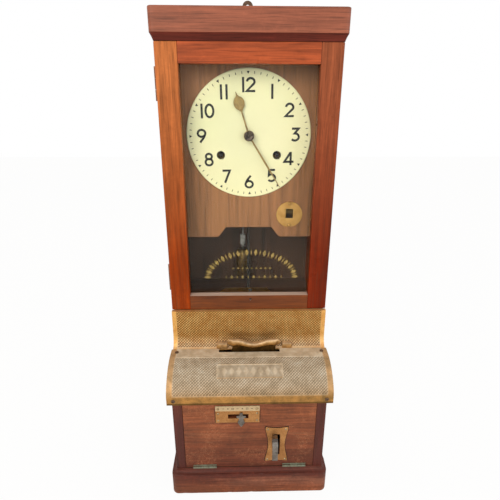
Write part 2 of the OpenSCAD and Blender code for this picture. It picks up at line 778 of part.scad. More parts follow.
// The drop flap hangs on two butt hinges along its lower edge.
flap_y = low_y + flap_t;
slot_z = column_plate_z + 11.4;
slot_x = column_plate_x + 1.5;
lever_slot_z = lever_plate_z + 20;
module column_slot(grow, y0, y1) {
    span([slot_x - column_slot_w / 2 - grow, y0, slot_z - grow],
        [slot_x + column_slot_w / 2 + grow, y1, slot_z + column_slot_h + grow]);
}
module lever_slot(grow, y0, y1) {
    span([lever_x - lever_slot_w / 2 - grow, y0, lever_slot_z - grow],
        [lever_x + lever_slot_w / 2 + grow, y1, lever_slot_z + lever_slot_h + grow]);
}
module flap() {
    color("sienna") difference() {
        span([-inner_w / 2 + gap, low_y, box_z + 1.5], [inner_w / 2 - gap, flap_y, flap_top]);
        column_slot(1, low_y - 1, flap_y + 1);
        lever_slot(1, low_y - 1, flap_y + 1);
    }
}
flap_knuckle_d = 5;
flap_pin_d = 2.4;
flap_hinge_w = 54;
flap_leaf_h = 2.4;
flap_hinge_x = [-104, 104];
module flap_hinge_leaves() {
    w = flap_hinge_w / 6 - gap;
    color("darkseagreen") for (x = flap_hinge_x) difference() {
        union() {
            bar_x(x - w, x + w, hinge_y, hinge_z, flap_knuckle_d);
            span([x - w, hinge_y + 0.2, hinge_z + 1.5], [x + w, low_y, hinge_z + 2.3]);
            span([x - flap_hinge_w / 2, low_y - leaf_t, hinge_z + 3.2],
                [x + flap_hinge_w / 2, low_y, hinge_z + 3.2 + flap_leaf_h]);
            span([x - w, low_y - leaf_t, hinge_z + 1.5], [x + w, low_y, hinge_z + 4]);
        }
        bar_x(x - 40, x + 40, hinge_y, hinge_z, flap_pin_d + 2 * run);
    }
}
module flap_hinge_pins() {
    color("darkseagreen") for (x = flap_hinge_x) {
        bar_x(x - flap_hinge_w / 2, x + flap_hinge_w / 2, hinge_y, hinge_z, flap_pin_d);
        for (low = [x - flap_hinge_w / 2, x + flap_hinge_w / 6]) {
            bar_x(low, low + flap_hinge_w / 3, hinge_y, hinge_z, flap_knuckle_d);
            span([low, hinge_y, box_z], [low + flap_hinge_w / 3, low_y + 12, box_z + leaf_t]);
        }
    }
}

// Escutcheons on the flap, with the scale strip along the top of the first.
plate_s = 2;
module column_plate() {
    color("goldenrod") difference() {
        span([column_plate_x - column_plate_w / 2, low_y - plate_s, column_plate_z],
            [column_plate_x + column_plate_w / 2, low_y, column_plate_z + column_plate_h]);
        column_slot(0, low_y - 10, low_y + 1);
    }
}
strip_h = 13.5;
module scale_strip() {
    color("lightgray") span([column_plate_x - column_plate_w / 2, low_y - plate_s - 0.3,
        column_plate_z + column_plate_h + seam], [column_plate_x + column_plate_w / 2, low_y,
        column_plate_z + column_plate_h + strip_h]);
}
module lever_plate() {
    half = lever_plate_w / 2;
    waist = (lever_plate_w - lever_waist_w) / 2;
    top = lever_plate_z + lever_plate_h;
    dip = 3;
    lobe = 3;
    side = concat([[half - lobe, lever_plate_z], [half - 0.3 * lobe, lever_plate_z + 0.3 * lobe]],
        [for (t = [0.04:0.046:0.97]) [half - waist * pow(sin(180 * t), 1.6),
            lever_plate_z + t * lever_plate_h]],
        [[half - 0.3 * lobe, top - 0.3 * lobe], [half - lobe, top]]);
    crown = [for (k = [0.8:-0.2:-0.8]) [k * half, top - dip * cos(90 * k)]];
    color("goldenrod") difference() {
        translate([lever_x, 0, 0]) plate_xz(low_y - plate_s, plate_s)
            polygon(concat(side, crown, [for (p = reversed(side)) [-p[0], p[1]]],
                [for (p = reversed(crown)) [p[0], 2 * lever_plate_z + lever_plate_h - p[1]]]));
        lever_slot(0, low_y - 10, low_y + 1);
    }
}
plate_screw_in = 6;
module plate_screws() {
    color("darkkhaki") {
        for (x = [-1, 1]) for (z = [6.5, column_plate_h - 6.5])
            screw_head(column_plate_x + x * (column_plate_w / 2 - plate_screw_in), low_y - plate_s,
                column_plate_z + z, 5);
        for (x = [-1, 1]) screw_head(column_plate_x + x * (column_plate_w / 2 - plate_screw_in),
            low_y - plate_s - 0.3, column_plate_z + column_plate_h + 6.5, 6);
        for (x = [-1, 1]) for (z = [6, lever_plate_h - 6])
            screw_head(lever_x + x * (lever_plate_w / 2 - 5.5), low_y - plate_s, lever_plate_z + z, 5.5);
    }
}

// The pointer slides in the column slot; its pin reaches the card receiver.
pin_z = slot_z + column_slot_h / 2;
pin_d = 6;
module column_pointer() {
    y0 = low_y - plate_s - gap - 2;
    color("silver") {
        translate([pointer_x, 0, pin_z]) plate_xz(y0, 2)
            polygon([[-3, 11], [3, 11], [3.6, 4], [10, 3], [10, -1], [5, -3.4], [5, -8], [8, -15],
                [3, -24], [0, -27], [-3, -24], [-8, -15], [-5, -8], [-5, -3.4], [-10, -1], [-10, 3],
                [-3.6, 4]]);
        span([pointer_x - 4, y0 + 1, pin_z - 4], [pointer_x + 4, flap_y + gap, pin_z + 4]);
        span([pointer_x - 12, flap_y + gap, pin_z - 10], [pointer_x + 12, flap_y + gap + 3, pin_z + 10]);
        bar_y(pointer_x, flap_y + gap + 1, card_y - 10, pin_z, pin_d);
    }
}
// The print lever slides down its slot, close to the slot's left side; its
// wider finger piece curves down outside.
lever_w = 12.5;
neck_w = 8.2;
neck_x = lever_x - lever_slot_w / 2 + 0.5 + neck_w / 2;
finger_x = neck_x - 2;
neck_z = lever_slot_z + lever_slot_h - 15;
module print_lever() {
    y = low_y - plate_s;
    color("gray") {
        run_x(neck_w, neck_x) polygon([[flap_y + 4, neck_z], [flap_y + 4, neck_z + 14],
            [y - 8, neck_z + 14], [y - 8, neck_z]]);
        run_x(lever_w, finger_x) polygon([[y - 6, neck_z], [y - 6, neck_z + 14],
            [y - 12, neck_z + 14], [y - 19, neck_z + 11], [y - 23, neck_z + 4], [y - 25, neck_z - 10],
            [y - 24.5, neck_z - 34], [y - 23, neck_z - 38.5], [y - 21, neck_z - 38],
            [y - 20.5, neck_z - 12], [y - 18, neck_z - 3], [y - 12, neck_z]]);
        span([lever_x - 11, flap_y + gap, neck_z - 3], [lever_x + 11, flap_y + gap + 4, neck_z + 17]);
    }
}

// The recorder frame stands on the base board: two side plates, cross bars,
// the fixed shaft of the type wheels, the hammer pivot and the spool studs.
frame_t = 4;
frame_front = card_y - 24;
frame_back = shaft_y + 12;
wheel_shaft_d = 8;
pivot_d = 6;
spool_z = type_z + 50;
spool_y = card_y - 14;
stud_d = 5;
module recorder_frame() {
    color("dimgray") {
        for (side = [-1, 1]) difference() {
            translate([side * frame_x - frame_t / 2, frame_front, box_z])
                cube([frame_t, frame_back - frame_front, ledge_z - box_z - 50]);
            span([side * frame_x - 4, frame_front + 40, box_z + 30],
                [side * frame_x + 4, frame_back - 30, type_z - 30]);
        }
        w = 2 * frame_x - frame_t;
        bar_x(-w / 2, w / 2, type_y, type_z, wheel_shaft_d);
        bar_x(-w / 2, w / 2, hammer_y, hammer_z, pivot_d);
        difference() {
            span([-w / 2, shaft_y - 8, type_z + 8], [w / 2, shaft_y + 8, type_z + 20]);
            bar_z(shaft_x, shaft_y, type_z, type_z + 40, shaft_d + 2 * run);
        }
        for (side = [-1, 1]) bar_x(side < 0 ? -w / 2 : w / 2 - 22, side < 0 ? -w / 2 + 22 : w / 2,
            spool_y, spool_z, stud_d);
    }
}
spool_w = 14;
spool_core_d = 20;
spool_rim_d = 26;
spool_rim_t = 1.2;
module ribbon_spool(side) {
    x0 = side * (frame_x - frame_t / 2 - 12) - spool_w / 2;
    color("black") difference() {
        union() {
            bar_x(x0, x0 + spool_w, spool_y, spool_z, spool_core_d);
            for (x = [0, spool_w - spool_rim_t])
                bar_x(x0 + x, x0 + x + spool_rim_t, spool_y, spool_z, spool_rim_d);
        }
        bar_x(x0 - spool_w, x0 + 2 * spool_w, spool_y, spool_z, stud_d + 2 * run);
    }
}
module ribbon_spool_left() { ribbon_spool(-1); }
module ribbon_spool_right() { ribbon_spool(1); }

// The receiver carries the card between two plates and slides on two rails.
lip_x = 6.5;
card_gap = 5.4;
plate_thin = 3;
rail_y = card_y + 16;
rail_z = [type_z - 70, type_z + 56];
module receiver_rails() {
    color("silver") for (z = rail_z)
        bar_x(-frame_x + frame_t / 2, frame_x - frame_t / 2, rail_y, z, rail_d);
}
receiver_z0 = type_z - 100;
receiver_w = 100;
// The hammer and the type wheels stay put while the receiver slides, so its
// window is as much wider as it travels to each side.
slide_left = 18;
slide_right = 5;
window_x = 20;
head_half = 9;
window_low = window_x - head_half - slide_right - 1.5;
window_high = window_x + head_half + slide_left + 1.5;
window_h = 30;
module card_receiver() {
    back0 = card_y + card_gap / 2;
    front0 = card_y - card_gap / 2 - plate_thin;
    color("dimgray") difference() {
        union() {
            for (y = [front0, back0]) span([lip_x - receiver_w / 2, y, receiver_z0],
                [lip_x + receiver_w / 2, y + plate_thin, ledge_z - cover_t - 4]);
            for (side = [-1, 1])
                translate([lip_x + side * (receiver_w / 2 - 1.5) - 1.5, front0, receiver_z0])
                cube([3, card_gap + 2 * plate_thin, ledge_z - cover_t - 4 - receiver_z0]);
            span([lip_x - receiver_w / 2, front0, receiver_z0],
                [lip_x + receiver_w / 2, back0 + plate_thin, receiver_z0 + 3]);
            for (x = [-36, 36]) for (z = rail_z)
                span([lip_x + x - 6, back0 + 1, z - 8], [lip_x + x + 6, rail_y + 7, z + 8]);
            for (side = [-1, 1]) translate([pointer_x + side * 6 - 2.5, card_y - 18, pin_z - 8])
                cube([5, 18 - card_gap / 2, 30]);
        }
        for (z = rail_z) bar_x(-200, 200, rail_y, z, rail_d + 2 * run);
        span([window_low, front0 - 1, type_z - window_h / 2],
            [window_high, back0 + 4, type_z + window_h / 2]);
    }
}
// The brass lip stands on the receiver and shows in the mouth: a wavy strip,
// raised at both ends.
module mouth_lip() {
    low_edge = ledge_z + 3;
    strip = 9;
    wave = [for (k = [-1:0.1:1])
        [lip_x + k * lip_w / 2, low_edge + 13 * k * k * (2 - k * k)]];
    y0 = card_y + card_gap / 2;
    color("gold") {
        plate_xz(y0, plate_thin) polygon(concat([for (p = wave) [p[0], p[1] + strip]],
            reversed([for (p = wave) [p[0], p[1] - 4]])));
        span([lip_x - 20, y0, ledge_z - cover_t - 4], [lip_x + 20, y0 + plate_thin, low_edge + 1]);
    }
}

// Two wheels of raised type turn on the fixed shaft behind the card.
module type_wheel(x, w) {
    count = 30;
    r = 27;
    relief = 1.5;
    spoke_hole_d = 10;
    color("slategray") translate([x, type_y, type_z]) rotate([0, 90, 0]) difference() {
        union() {
            cylinder(h = w, r = r - relief);
            linear_extrude(w) for (i = [0:count - 1]) rotate(i * 360 / count)
                translate([r - 2, -1.6]) square([2, 3.2]);
        }
        translate([0, 0, -1]) cylinder(h = w + 2, d = wheel_shaft_d + 2 * run);
        for (i = [0:4]) rotate(i * 72) translate([r - 12, 0, -1])
            cylinder(h = w + 2, d = spoke_hole_d);
    }
}
type_wheel_w = 10;
module hour_type_wheel() { type_wheel(window_x - type_wheel_w - gap, type_wheel_w); }
module minute_type_wheel() { type_wheel(window_x + gap, type_wheel_w); }

// The hammer turns on its pivot; its head faces the window in the receiver.
hammer_d = 14;
hammer_t = 8;
module print_hammer() {
    color("gray") difference() {
        union() {
            bar_x(window_x - 14, lever_x + 8, hammer_y, hammer_z, hammer_d);
            span([window_x - head_half, hammer_y - hammer_t / 2, hammer_z],
                [window_x + head_half, hammer_y + hammer_t / 2, type_z + 14]);
            span([window_x - head_half, hammer_y + 3, type_z - 7],
                [window_x + head_half, card_y - 9, type_z + 12]);
            span([lever_x - 6, hammer_y - 3, neck_z + 18.5], [lever_x + 6, hammer_y + 3, hammer_z]);
        }
        bar_x(0, 200, hammer_y, hammer_z, pivot_d + 2 * run);
    }
}

left_side();
right_side();
back_board();
shelf_board();
base_board();
plinth();
case_cap();
hood_boards();
hood_lid();
hood_cove();
hanger_plate();
case_screws();
door_left_stile();
door_right_stile();
door_top_rail();
door_bottom_rail();
door_glass();
glass_beads();
door_hinges();
door_hinge_pins();
door_lock();
dial_board();
dial();
date_plate();
date_drum();
hour_hand();
minute_hand();
movement_plates();
movement_posts();
winding_arbor_left();
winding_arbor_right();
spring_barrel_left();
spring_barrel_right();
escape_wheel();
anchor();
pendulum_rod();
pendulum_bob();
down_shaft();
upper_cover();
apron_cover();
cover_screws();
head_rail();
flap();
flap_hinge_leaves();
flap_hinge_pins();
column_plate();
scale_strip();
column_pointer();
lever_plate();
plate_screws();
print_lever();
recorder_frame();
receiver_rails();
card_receiver();
mouth_lip();
minute_type_wheel();
hour_type_wheel();
print_hammer();
ribbon_spool_left();
ribbon_spool_right();
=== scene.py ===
import math
from functools import partial
import bpy
import numpy as np
from mathutils import Matrix, Vector


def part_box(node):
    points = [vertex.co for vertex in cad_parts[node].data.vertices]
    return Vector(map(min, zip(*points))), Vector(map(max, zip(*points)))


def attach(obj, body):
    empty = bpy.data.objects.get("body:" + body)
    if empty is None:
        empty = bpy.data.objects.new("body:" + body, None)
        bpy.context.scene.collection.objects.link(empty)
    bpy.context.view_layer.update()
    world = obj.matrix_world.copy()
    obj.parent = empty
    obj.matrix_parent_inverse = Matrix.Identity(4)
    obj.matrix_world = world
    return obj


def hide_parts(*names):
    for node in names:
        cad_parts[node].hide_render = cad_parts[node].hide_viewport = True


bl_info = {
    "name": "Card Time Recorder",
    "version": (1, 0, 0),
    "blender": (4, 5, 0),
    "location": "View3D > Sidebar > Recorder",
    "description": "Finishes the wall-hung card time recorder on its packed frame",
    "category": "Object",
}

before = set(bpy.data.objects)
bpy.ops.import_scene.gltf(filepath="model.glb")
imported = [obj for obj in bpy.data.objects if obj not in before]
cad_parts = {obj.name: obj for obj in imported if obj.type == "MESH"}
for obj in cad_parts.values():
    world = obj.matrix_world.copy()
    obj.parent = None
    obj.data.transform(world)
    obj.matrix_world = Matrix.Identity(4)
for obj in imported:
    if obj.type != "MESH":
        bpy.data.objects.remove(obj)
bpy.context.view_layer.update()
MM = 0.001
X, Y, Z = range(3)


def low(node, axis):
    """Lowest coordinate of a CAD node along an axis, in metres."""
    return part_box(node)[0][axis]


def high(node, axis):
    """Highest coordinate of a CAD node along an axis, in metres."""
    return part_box(node)[1][axis]


def mid(node, axis):
    """Coordinate half way between a CAD node's lowest and highest."""
    return (low(node, axis) + high(node, axis)) / 2


# Places on the frame, in metres.
CASE_HALF = high("right_side", X)
BACK_Y = high("back_board", Y)
DOOR_Y = low("door_top_rail", Y)
LOW_Y = low("flap", Y)
DIAL_Y = low("dial", Y)
DIAL_Z = mid("dial", Z)
DIAL_R = (high("dial", X) - low("dial", X)) / 2
WIND_X = mid("winding_arbor_right", X)
WIND_Z = mid("winding_arbor_right", Z)
LEDGE_Z = high("apron_cover", Z)
APRON_Z = low("apron_cover", Z)
SHEET = 3 * MM  # thickness of the two covers


def linear(code):
    """Linear red, green and blue of an sRGB hex code."""
    parts = [int(code[i:i + 2], 16) / 255 for i in (1, 3, 5)]
    return tuple(c / 12.92 if c <= 0.04045 else ((c + 0.055) / 1.055) ** 2.4 for c in parts)


def toned(colour, times=1.0):
    """A hex code or a linear colour made darker or lighter, with alpha 1."""
    colour = linear(colour) if isinstance(colour, str) else colour
    return [min(1.0, c * times) for c in colour[:3]] + [1.0]


def join(node, sockets):
    """Links each socket given another node's output, and sets any other."""
    for key, value in sockets.items():
        if isinstance(value, bpy.types.NodeSocket):
            node.id_data.links.new(value, node.inputs[key])
        else:
            node.inputs[key].default_value = value


def add_node(tree, kind, sockets=None, out=0, stops=(), **settings):
    """Adds one shader node with its settings, joins its sockets and gives one
    of its outputs. Stops are a ramp's places and linear colours."""
    node = tree.nodes.new("ShaderNode" + kind)
    for key, value in settings.items():
        setattr(node, key, value)
    join(node, sockets or {})
    for _ in stops[2:]:
        node.color_ramp.elements.new(0.5)
    for k, (place, colour) in enumerate(stops):
        node.color_ramp.elements[k].position = place
        node.color_ramp.elements[k].color = colour
    return node.outputs[out] if node.outputs else None


def per(size_mm):
    """The scale of a pattern whose lumps are size_mm across."""
    return 1 / (size_mm * MM)


def opened(name):
    """A new material, what adds nodes to it, and its Object coordinates."""
    material = bpy.data.materials.new(name)
    material.use_nodes = True
    add = partial(add_node, material.node_tree)
    return material, add, add("TexCoord", out="Object")


# What makes a Mix node mix colours.
COLOURS = {"out": 2, "data_type": "RGBA"}


def laid(add, under, over, pattern, start, end, least=0.0, most=1.0):
    """One colour laid over another. Its share runs from least to most while
    the pattern runs from start to end."""
    share = add("MapRange", {0: pattern, 1: start, 2: end, 3: least, 4: most})
    return add("Mix", {0: share, 6: under, 7: over}, **COLOURS)


def finished(material, colour, rough, height, depth_mm, more=None):
    """Joins colour, roughness, a bump of a real depth and more to the shader."""
    tree = material.node_tree
    bump = add_node(tree, "Bump", {"Height": height, "Distance": depth_mm * MM})
    join(tree.nodes["Principled BSDF"],
         {"Base Color": colour, "Roughness": rough, "Normal": bump, **(more or {})})
    return material


def swapped(material, share, other):
    """Shows another shader in place of the material's own, by a share."""
    nodes = material.node_tree.nodes
    own = nodes["Principled BSDF"].outputs[0]
    both = add_node(material.node_tree, "MixShader", {0: share, 1: own, 2: other})
    join(nodes["Material Output"], {0: both})
    return material


def along(axis, share):
    """A stretch that draws a pattern out along one axis."""
    return [share if i == axis else 1.0 for i in range(3)]


# French polished mahogany, sawn with its figure along the board: warm bands,
# finer streaks and dark pores under a thin gloss, rubbed pale and stained dark
# in small patches. A lower colour is what the wood turns to further down, over
# the heights of the fade.
def polished_mahogany(name, axis, colour, shift=0.0, gloss=0.3, shine=0.3, lower=None,
                      fade=(0.56, 0.9), contrast=0.8, scuffs=0.25, nicks=0.0, pale=None,
                      lit_top=None, follows_run=False):
    material, add, place = opened(name)
    height = add("SeparateXYZ", {0: place}, out=Z)
    if follows_run:
        place = add("UVMap", uv_map="Run")
    moved = add("Mapping", {"Vector": place, "Scale": along(axis, 0.08),
                            "Location": (shift, shift * 0.7, shift * 0.4)})
    fine = add("Mapping", {"Vector": place, "Scale": along(axis, 0.03)})
    bands, streaks, pores, cloud, fret = [
        add("TexNoise", {"Vector": vector, "Scale": per(size), "Detail": detail,
                         "Roughness": rough, "Distortion": bent})
        for vector, size, detail, rough, bent in (
            (moved, 17, 6, 0.62, 0.8), (fine, 4.5, 4, 0.6, 0.3), (fine, 1.8, 2, 0.5, 0),
            (place, 70, 4, 0.65, 0.4), (place, 9, 8, 0.78, 0.6))]
    shown = laid(add, toned(lower or colour), toned(colour), height, *fade)
    wide, narrow = [
        add("MapRange", {0: noise, 1: 0.5 - reach, 2: 0.5 + reach,
                         3: 1 - dark * contrast, 4: 1 + light * contrast})
        for noise, reach, dark, light in ((bands, 0.18, 0.36, 0.3), (streaks, 0.2, 0.3, 0.26))]
    figure = add("Math", {0: wide, 1: narrow}, operation="MULTIPLY")
    shown = add("VectorMath", {0: shown, "Scale": figure}, operation="SCALE")
    shown = laid(add, shown, toned(colour, 0.35), pores, 0.32, 0.46, 0.6, 0.0)
    if pale:
        faded = add("TexNoise", {"Vector": moved, "Scale": per(60), "Detail": 5.0,
                                 "Roughness": 0.7})
        shown = laid(add, shown, toned(pale), faded, 0.54, 0.74, 0.0, 0.6)
    blotch = add("Math", {0: fret, 1: cloud}, operation="MULTIPLY")
    for times, *span in ((1.9, 0.26, 0.42, 0.0, scuffs), (0.4, 0.12, 0.22, scuffs, 0.0)):
        rubbed = add("VectorMath", {0: shown, "Scale": times}, operation="SCALE")
        shown = laid(add, shown, rubbed, blotch, *span)
    if nicks:
        speck = add("TexNoise", {"Vector": place, "Scale": per(4.2), "Detail": 6.0,
                                 "Roughness": 0.8, "Distortion": 1.6})
        where = add("MapRange", {0: cloud, 1: 0.5, 2: 0.62, 3: 0.0, 4: nicks})
        shown = laid(add, shown, toned(pale), speck, 0.5, 0.62, 0.0, where)
    if lit_top:
        up = add("SeparateXYZ", {0: add("NewGeometry", out="Normal")}, out=Z)
        shown = laid(add, shown, toned(lit_top), up, 0.6, 0.95)
    rough = add("MapRange", {0: cloud, 1: 0.3, 2: 0.7, 3: gloss, 4: gloss + 0.25})
    grain = add("Math", {0: pores, 1: bands}, operation="ADD")
    return finished(material, shown, rough, grain, 0.2, {"IOR": 1.5, "Specular IOR Level": shine})


# Pine and other inside boards, planed and left bare or thinly stained: dull,
# with straight streaks along the board.
def planed_board(name, axis, colour, shift=0.0):
    material, add, place = opened(name)
    moved = add("Mapping", {"Vector": place, "Scale": along(axis, 0.05),
                            "Location": (shift, shift, 0)})
    streak = add("TexNoise", {"Vector": moved, "Scale": per(8), "Detail": 7.0,
                              "Roughness": 0.68, "Distortion": 0.5})
    shown = add("ValToRGB", {0: streak}, stops=[
        (0.33, toned(colour, 0.55)), (0.5, toned(colour)), (0.68, toned(colour, 1.3))])
    return finished(material, shown, 0.62, streak, 0.15)


# Old lacquered brass, or another plated or blacked metal: dulled by a film in
# cloudy patches, with fine specks where the lacquer has gone, dust lying on
# what faces up, and dark dirt in pressed grooves. The same darkening also lays
# painted shade along the apron's bottom edge.
def aged_metal(name, colour, film, rough=0.4, cloud_mm=24, specks=None, metal=1.0, dust=None,
               cover=0.8, pressed=None):
    material, add, place = opened(name)
    cloud = add("TexNoise", {"Vector": place, "Scale": per(cloud_mm), "Detail": 5.0,
                             "Roughness": 0.66, "Distortion": 0.3})
    grit = add("TexNoise", {"Vector": place, "Scale": per(1.5), "Detail": 3.0})
    shown = laid(add, toned(colour), toned(film), cloud, 0.38, 0.66)
    if specks:
        shown = laid(add, shown, toned(specks), grit, 0.6, 0.68, 0.0, 0.8)
    rough = add("MapRange", {0: cloud, 1: 0.35, 2: 0.7, 3: rough, 4: rough + 0.2})
    if dust:
        up = add("SeparateXYZ", {0: add("NewGeometry", out="Normal")}, out=Z)
        settled = add("MapRange", {0: up, 1: -0.1, 2: 0.7, 3: 0.0, 4: cover})
        patchy = add("MapRange", {0: cloud, 1: 0.3, 2: 0.6, 3: 1.0, 4: 0.6})
        lying = add("Math", {0: settled, 1: patchy}, operation="MULTIPLY")
        if pressed:
            rim = add("Attribute", out="Fac", attribute_name="Rim")
            wiped = add("MapRange", {0: rim, 3: 1.0, 4: 0.3})
            lying = add("Math", {0: lying, 1: wiped}, operation="MULTIPLY")
        shown = add("Mix", {0: lying, 6: shown, 7: toned(dust)}, **COLOURS)
        matt = add("Math", {0: lying, 1: 0.35}, operation="MULTIPLY")
        rough = add("Math", {0: rough, 1: matt}, operation="ADD", use_clamp=True)
        metal = add("Math", {0: metal, 1: lying}, operation="SUBTRACT", use_clamp=True)
    if pressed:
        rise = add("Attribute", out="Fac", attribute_name="Wear")
        shown = laid(add, shown, toned(film, 0.16), rise, *pressed, 0.0)
    return finished(material, shown, rough, grit, 0.05, {"Metallic": metal})


# Stove enamel on a metal disc: smooth, glossy cream that has yellowed towards
# the rim and caught a few brown specks.
def dial_enamel(name, colour, rim):
    material, add, place = opened(name)
    centred = add("Mapping", {"Vector": place, "Location": (0, 0, -DIAL_Z), "Scale": (1, 0, 1)})
    radius = add("VectorMath", {0: centred}, out="Value", operation="LENGTH")
    aged = add("MapRange", {0: radius, 1: DIAL_R * 0.35, 2: DIAL_R})
    cloud = add("TexNoise", {"Vector": place, "Scale": per(38), "Detail": 4.0})
    patchy = add("MapRange", {0: cloud, 1: 0.3, 2: 0.7, 3: 0.4, 4: 1.0})
    uneven = add("Math", {0: aged, 1: patchy}, operation="MULTIPLY")
    shown = add("Mix", {0: uneven, 6: toned(colour), 7: toned(rim)}, **COLOURS)
    grit = add("TexNoise", {"Vector": place, "Scale": per(2.5), "Detail": 2.0})
    shown = laid(add, shown, toned("#A8925C"), grit, 0.7, 0.76, 0.0, 0.5)
    return finished(material, shown, 0.24, cloud, 0.1, {"Coat Weight": 0.3})


# Paint, printing ink, or caked dirt with painted shadow: an even film, thin where it was rubbed.
def worn_paint(name, colour, rubbed, rough=0.5):
    material, add, place = opened(name)
    rub = add("TexNoise", {"Vector": place, "Scale": per(3), "Detail": 4.0, "Roughness": 0.7})
    shown = laid(add, toned(colour), toned(rubbed), rub, 0.55, 0.75, 0.0, 0.4)
    return finished(material, shown, rough, rub, 0.03)


# Drawn window glass: clear, with slow waves and a breath of old dust.
# Lamps shine straight through it, as they do through a thin pane.
def drawn_glass(name):
    material, add, place = opened(name)
    wave = add("TexNoise", {"Vector": place, "Scale": per(110), "Detail": 1.0})
    smear = add("MapRange", {0: wave, 1: 0.4, 2: 0.7, 3: 0.0, 4: 0.02})
    shown = add("Mix", {0: wave, 6: toned("#FFFFFF"), 7: toned("#F4FAF6")}, **COLOURS)
    finished(material, shown, smear, wave, 0.2, {"Transmission Weight": 1.0, "IOR": 1.2})
    clear = add("BsdfTransparent", {"Color": toned("#F6F8F4")})
    return swapped(material, add("LightPath", out="Is Shadow Ray"), clear)


# Inked cotton ribbon, wound: near black and matt, with a fine cross weave.
def inked_ribbon(name):
    material, add, place = opened(name)
    weave = add("TexChecker", {"Vector": place, "Scale": per(0.8)}, out=1)
    shown = add("Mix", {0: weave, 6: toned("#17141A"), 7: toned("#2C2632")}, **COLOURS)
    return finished(material, shown, 0.85, weave, 0.1)


def turned(angle):
    """The matrix that turns points, kept as rows, anticlockwise by an angle."""
    c, s = math.cos(angle), math.sin(angle)
    return np.array([[c, s], [-s, c]])


def bulged(angle, power_x, power_z):
    """A circle's cosine and sine, each raised to a power with its sign kept:
    below 1 the circle fills its square, above 1 its sides turn hollow."""
    return np.stack([np.sign(wave) * np.abs(wave) ** power
                     for wave, power in ((np.cos(angle), power_x), (np.sin(angle), power_z))])


def placed(name, data):
    """A new object in the scene."""
    obj = bpy.data.objects.new(name, data)
    bpy.context.scene.collection.objects.link(obj)
    return obj


def grid_faces(rows, cols, wrap_rows=False, wrap_cols=False, first=0):
    """Quads of a grid of points kept row by row, each of four neighbours. A
    wrapped way joins its last line back to its first."""
    r = np.arange(rows if wrap_rows else rows - 1)[:, None]
    c = np.arange(cols if wrap_cols else cols - 1)[None, :]
    r1, c1 = (r + 1) % rows, (c + 1) % cols
    quads = np.stack([r * cols + c, r * cols + c1, r1 * cols + c1, r1 * cols + c], -1)
    return (quads + first).reshape(-1, 4)


def built(name, solids, look, body, replaces=(), smooth=40, wear=None, run=None):
    """Makes one object of closed solids, each a pair of points and faces.

    A solid whose faces point inwards has a negative volume, found as a sixth
    of the sum of each corner triangle's triple product, and is turned."""
    points, faces, start = [], [], 0
    for solid_points, solid_faces in solids:
        solid_points = np.asarray(solid_points, float)
        volume = 0.0
        for size in {len(f) for f in solid_faces}:
            same = np.array([f for f in solid_faces if len(f) == size])
            corners = solid_points[same] - solid_points.mean(0)
            for k in range(1, size - 1):
                volume += (corners[:, 0] * np.cross(corners[:, k], corners[:, k + 1])).sum()
        way = 1 if volume > 0 else -1
        points.append(solid_points)
        faces += [[int(i) + start for i in f][::way] for f in solid_faces]
        start += len(solid_points)
    mesh = bpy.data.meshes.new(name)
    mesh.from_pydata(np.concatenate(points).tolist(), [], faces)
    mesh.materials.append(finish(look))
    for key, values in (wear or {}).items():
        field = mesh.attributes.new(key, "FLOAT", "POINT").data
        field.foreach_set("value", np.asarray(values, np.float32))
    if run is not None:
        at = np.empty(len(mesh.loops), np.int64)
        mesh.loops.foreach_get("vertex_index", at)
        run = np.asarray(run, np.float32)[at].ravel()
        mesh.uv_layers.new(name="Run").data.foreach_set("uv", run)
    obj = placed(name, mesh)
    if smooth:
        mesh.shade_smooth()
        mesh.set_sharp_from_angle(angle=math.radians(smooth))
    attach(obj, body)
    if replaces:
        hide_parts(*replaces)


def tube(rings, closed=False):
    """A closed solid from a row of closed rings with the same count of points:
    quads between neighbours. A closed row joins its last ring to its first,
    and an open one has one face over each end."""
    rings = np.asarray(rings, float)
    rows, cols = rings.shape[:2]
    faces = grid_faces(rows, cols, wrap_rows=closed, wrap_cols=True).tolist()
    if not closed:
        faces += [list(range(cols))[::-1], list(range((rows - 1) * cols, rows * cols))]
    return rings.reshape(-1, 3), faces


def dress(*rows):
    """Gives CAD nodes their looks. Each row is a finish, a width in millimetres
    and the nodes. Where there is a width, equal points are welded, flat
    triangles are merged, and edges over 40 degrees are rounded by it."""
    for look, width_mm, *nodes in rows:
        for obj in [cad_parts[node] for node in nodes]:
            obj.data.materials.clear()
            obj.data.materials.append(finish(look))
            if not width_mm:
                continue
            obj.modifiers.new("Weld", "WELD").merge_threshold = 0.02 * MM
            flat = obj.modifiers.new("Flat", "DECIMATE")
            flat.decimate_type = "DISSOLVE"
            flat.angle_limit = math.radians(0.5)
            bevel = obj.modifiers.new("Worn edge", "BEVEL")
            bevel.width = width_mm * MM
            bevel.segments = 2
            bevel.limit_method = "ANGLE"
            bevel.angle_limit = math.radians(40)
            bevel.harden_normals = True


def grime_round(node, spread, rise):
    """Painted shadow and dirt in the corner round a plate on the flap: the
    plate's own outline, its corners merged, grown by the spread and flattened
    to the rise."""
    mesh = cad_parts[node].data
    points = np.empty(len(mesh.vertices) * 3)
    mesh.vertices.foreach_get("co", points)
    mesh.calc_loop_triangles()
    corners = np.empty(len(mesh.loop_triangles) * 3, np.int64)
    mesh.loop_triangles.foreach_get("vertices", corners)
    points, merged = np.unique(points.reshape(-1, 3).round(6), axis=0, return_inverse=True)
    faces = merged.reshape(-1)[corners].reshape(-1, 3)
    faces = faces[(faces != np.roll(faces, 1, 1)).all(1)]
    least, most = points.min(0), points.max(0)
    middle = (least + most) / 2
    outer = points[:, Y] < middle[Y]
    points = middle + (points - middle) * (1 + 2 * spread / (most - least))
    points[:, Y] = np.where(outer, LOW_Y - rise, LOW_Y)
    return points, faces.tolist()


def slab(outline, depths):
    """A flat closed solid: an outline in X and Z between two depths in Y."""
    return tube([[[x, y, z] for x, z in outline] for y in depths])


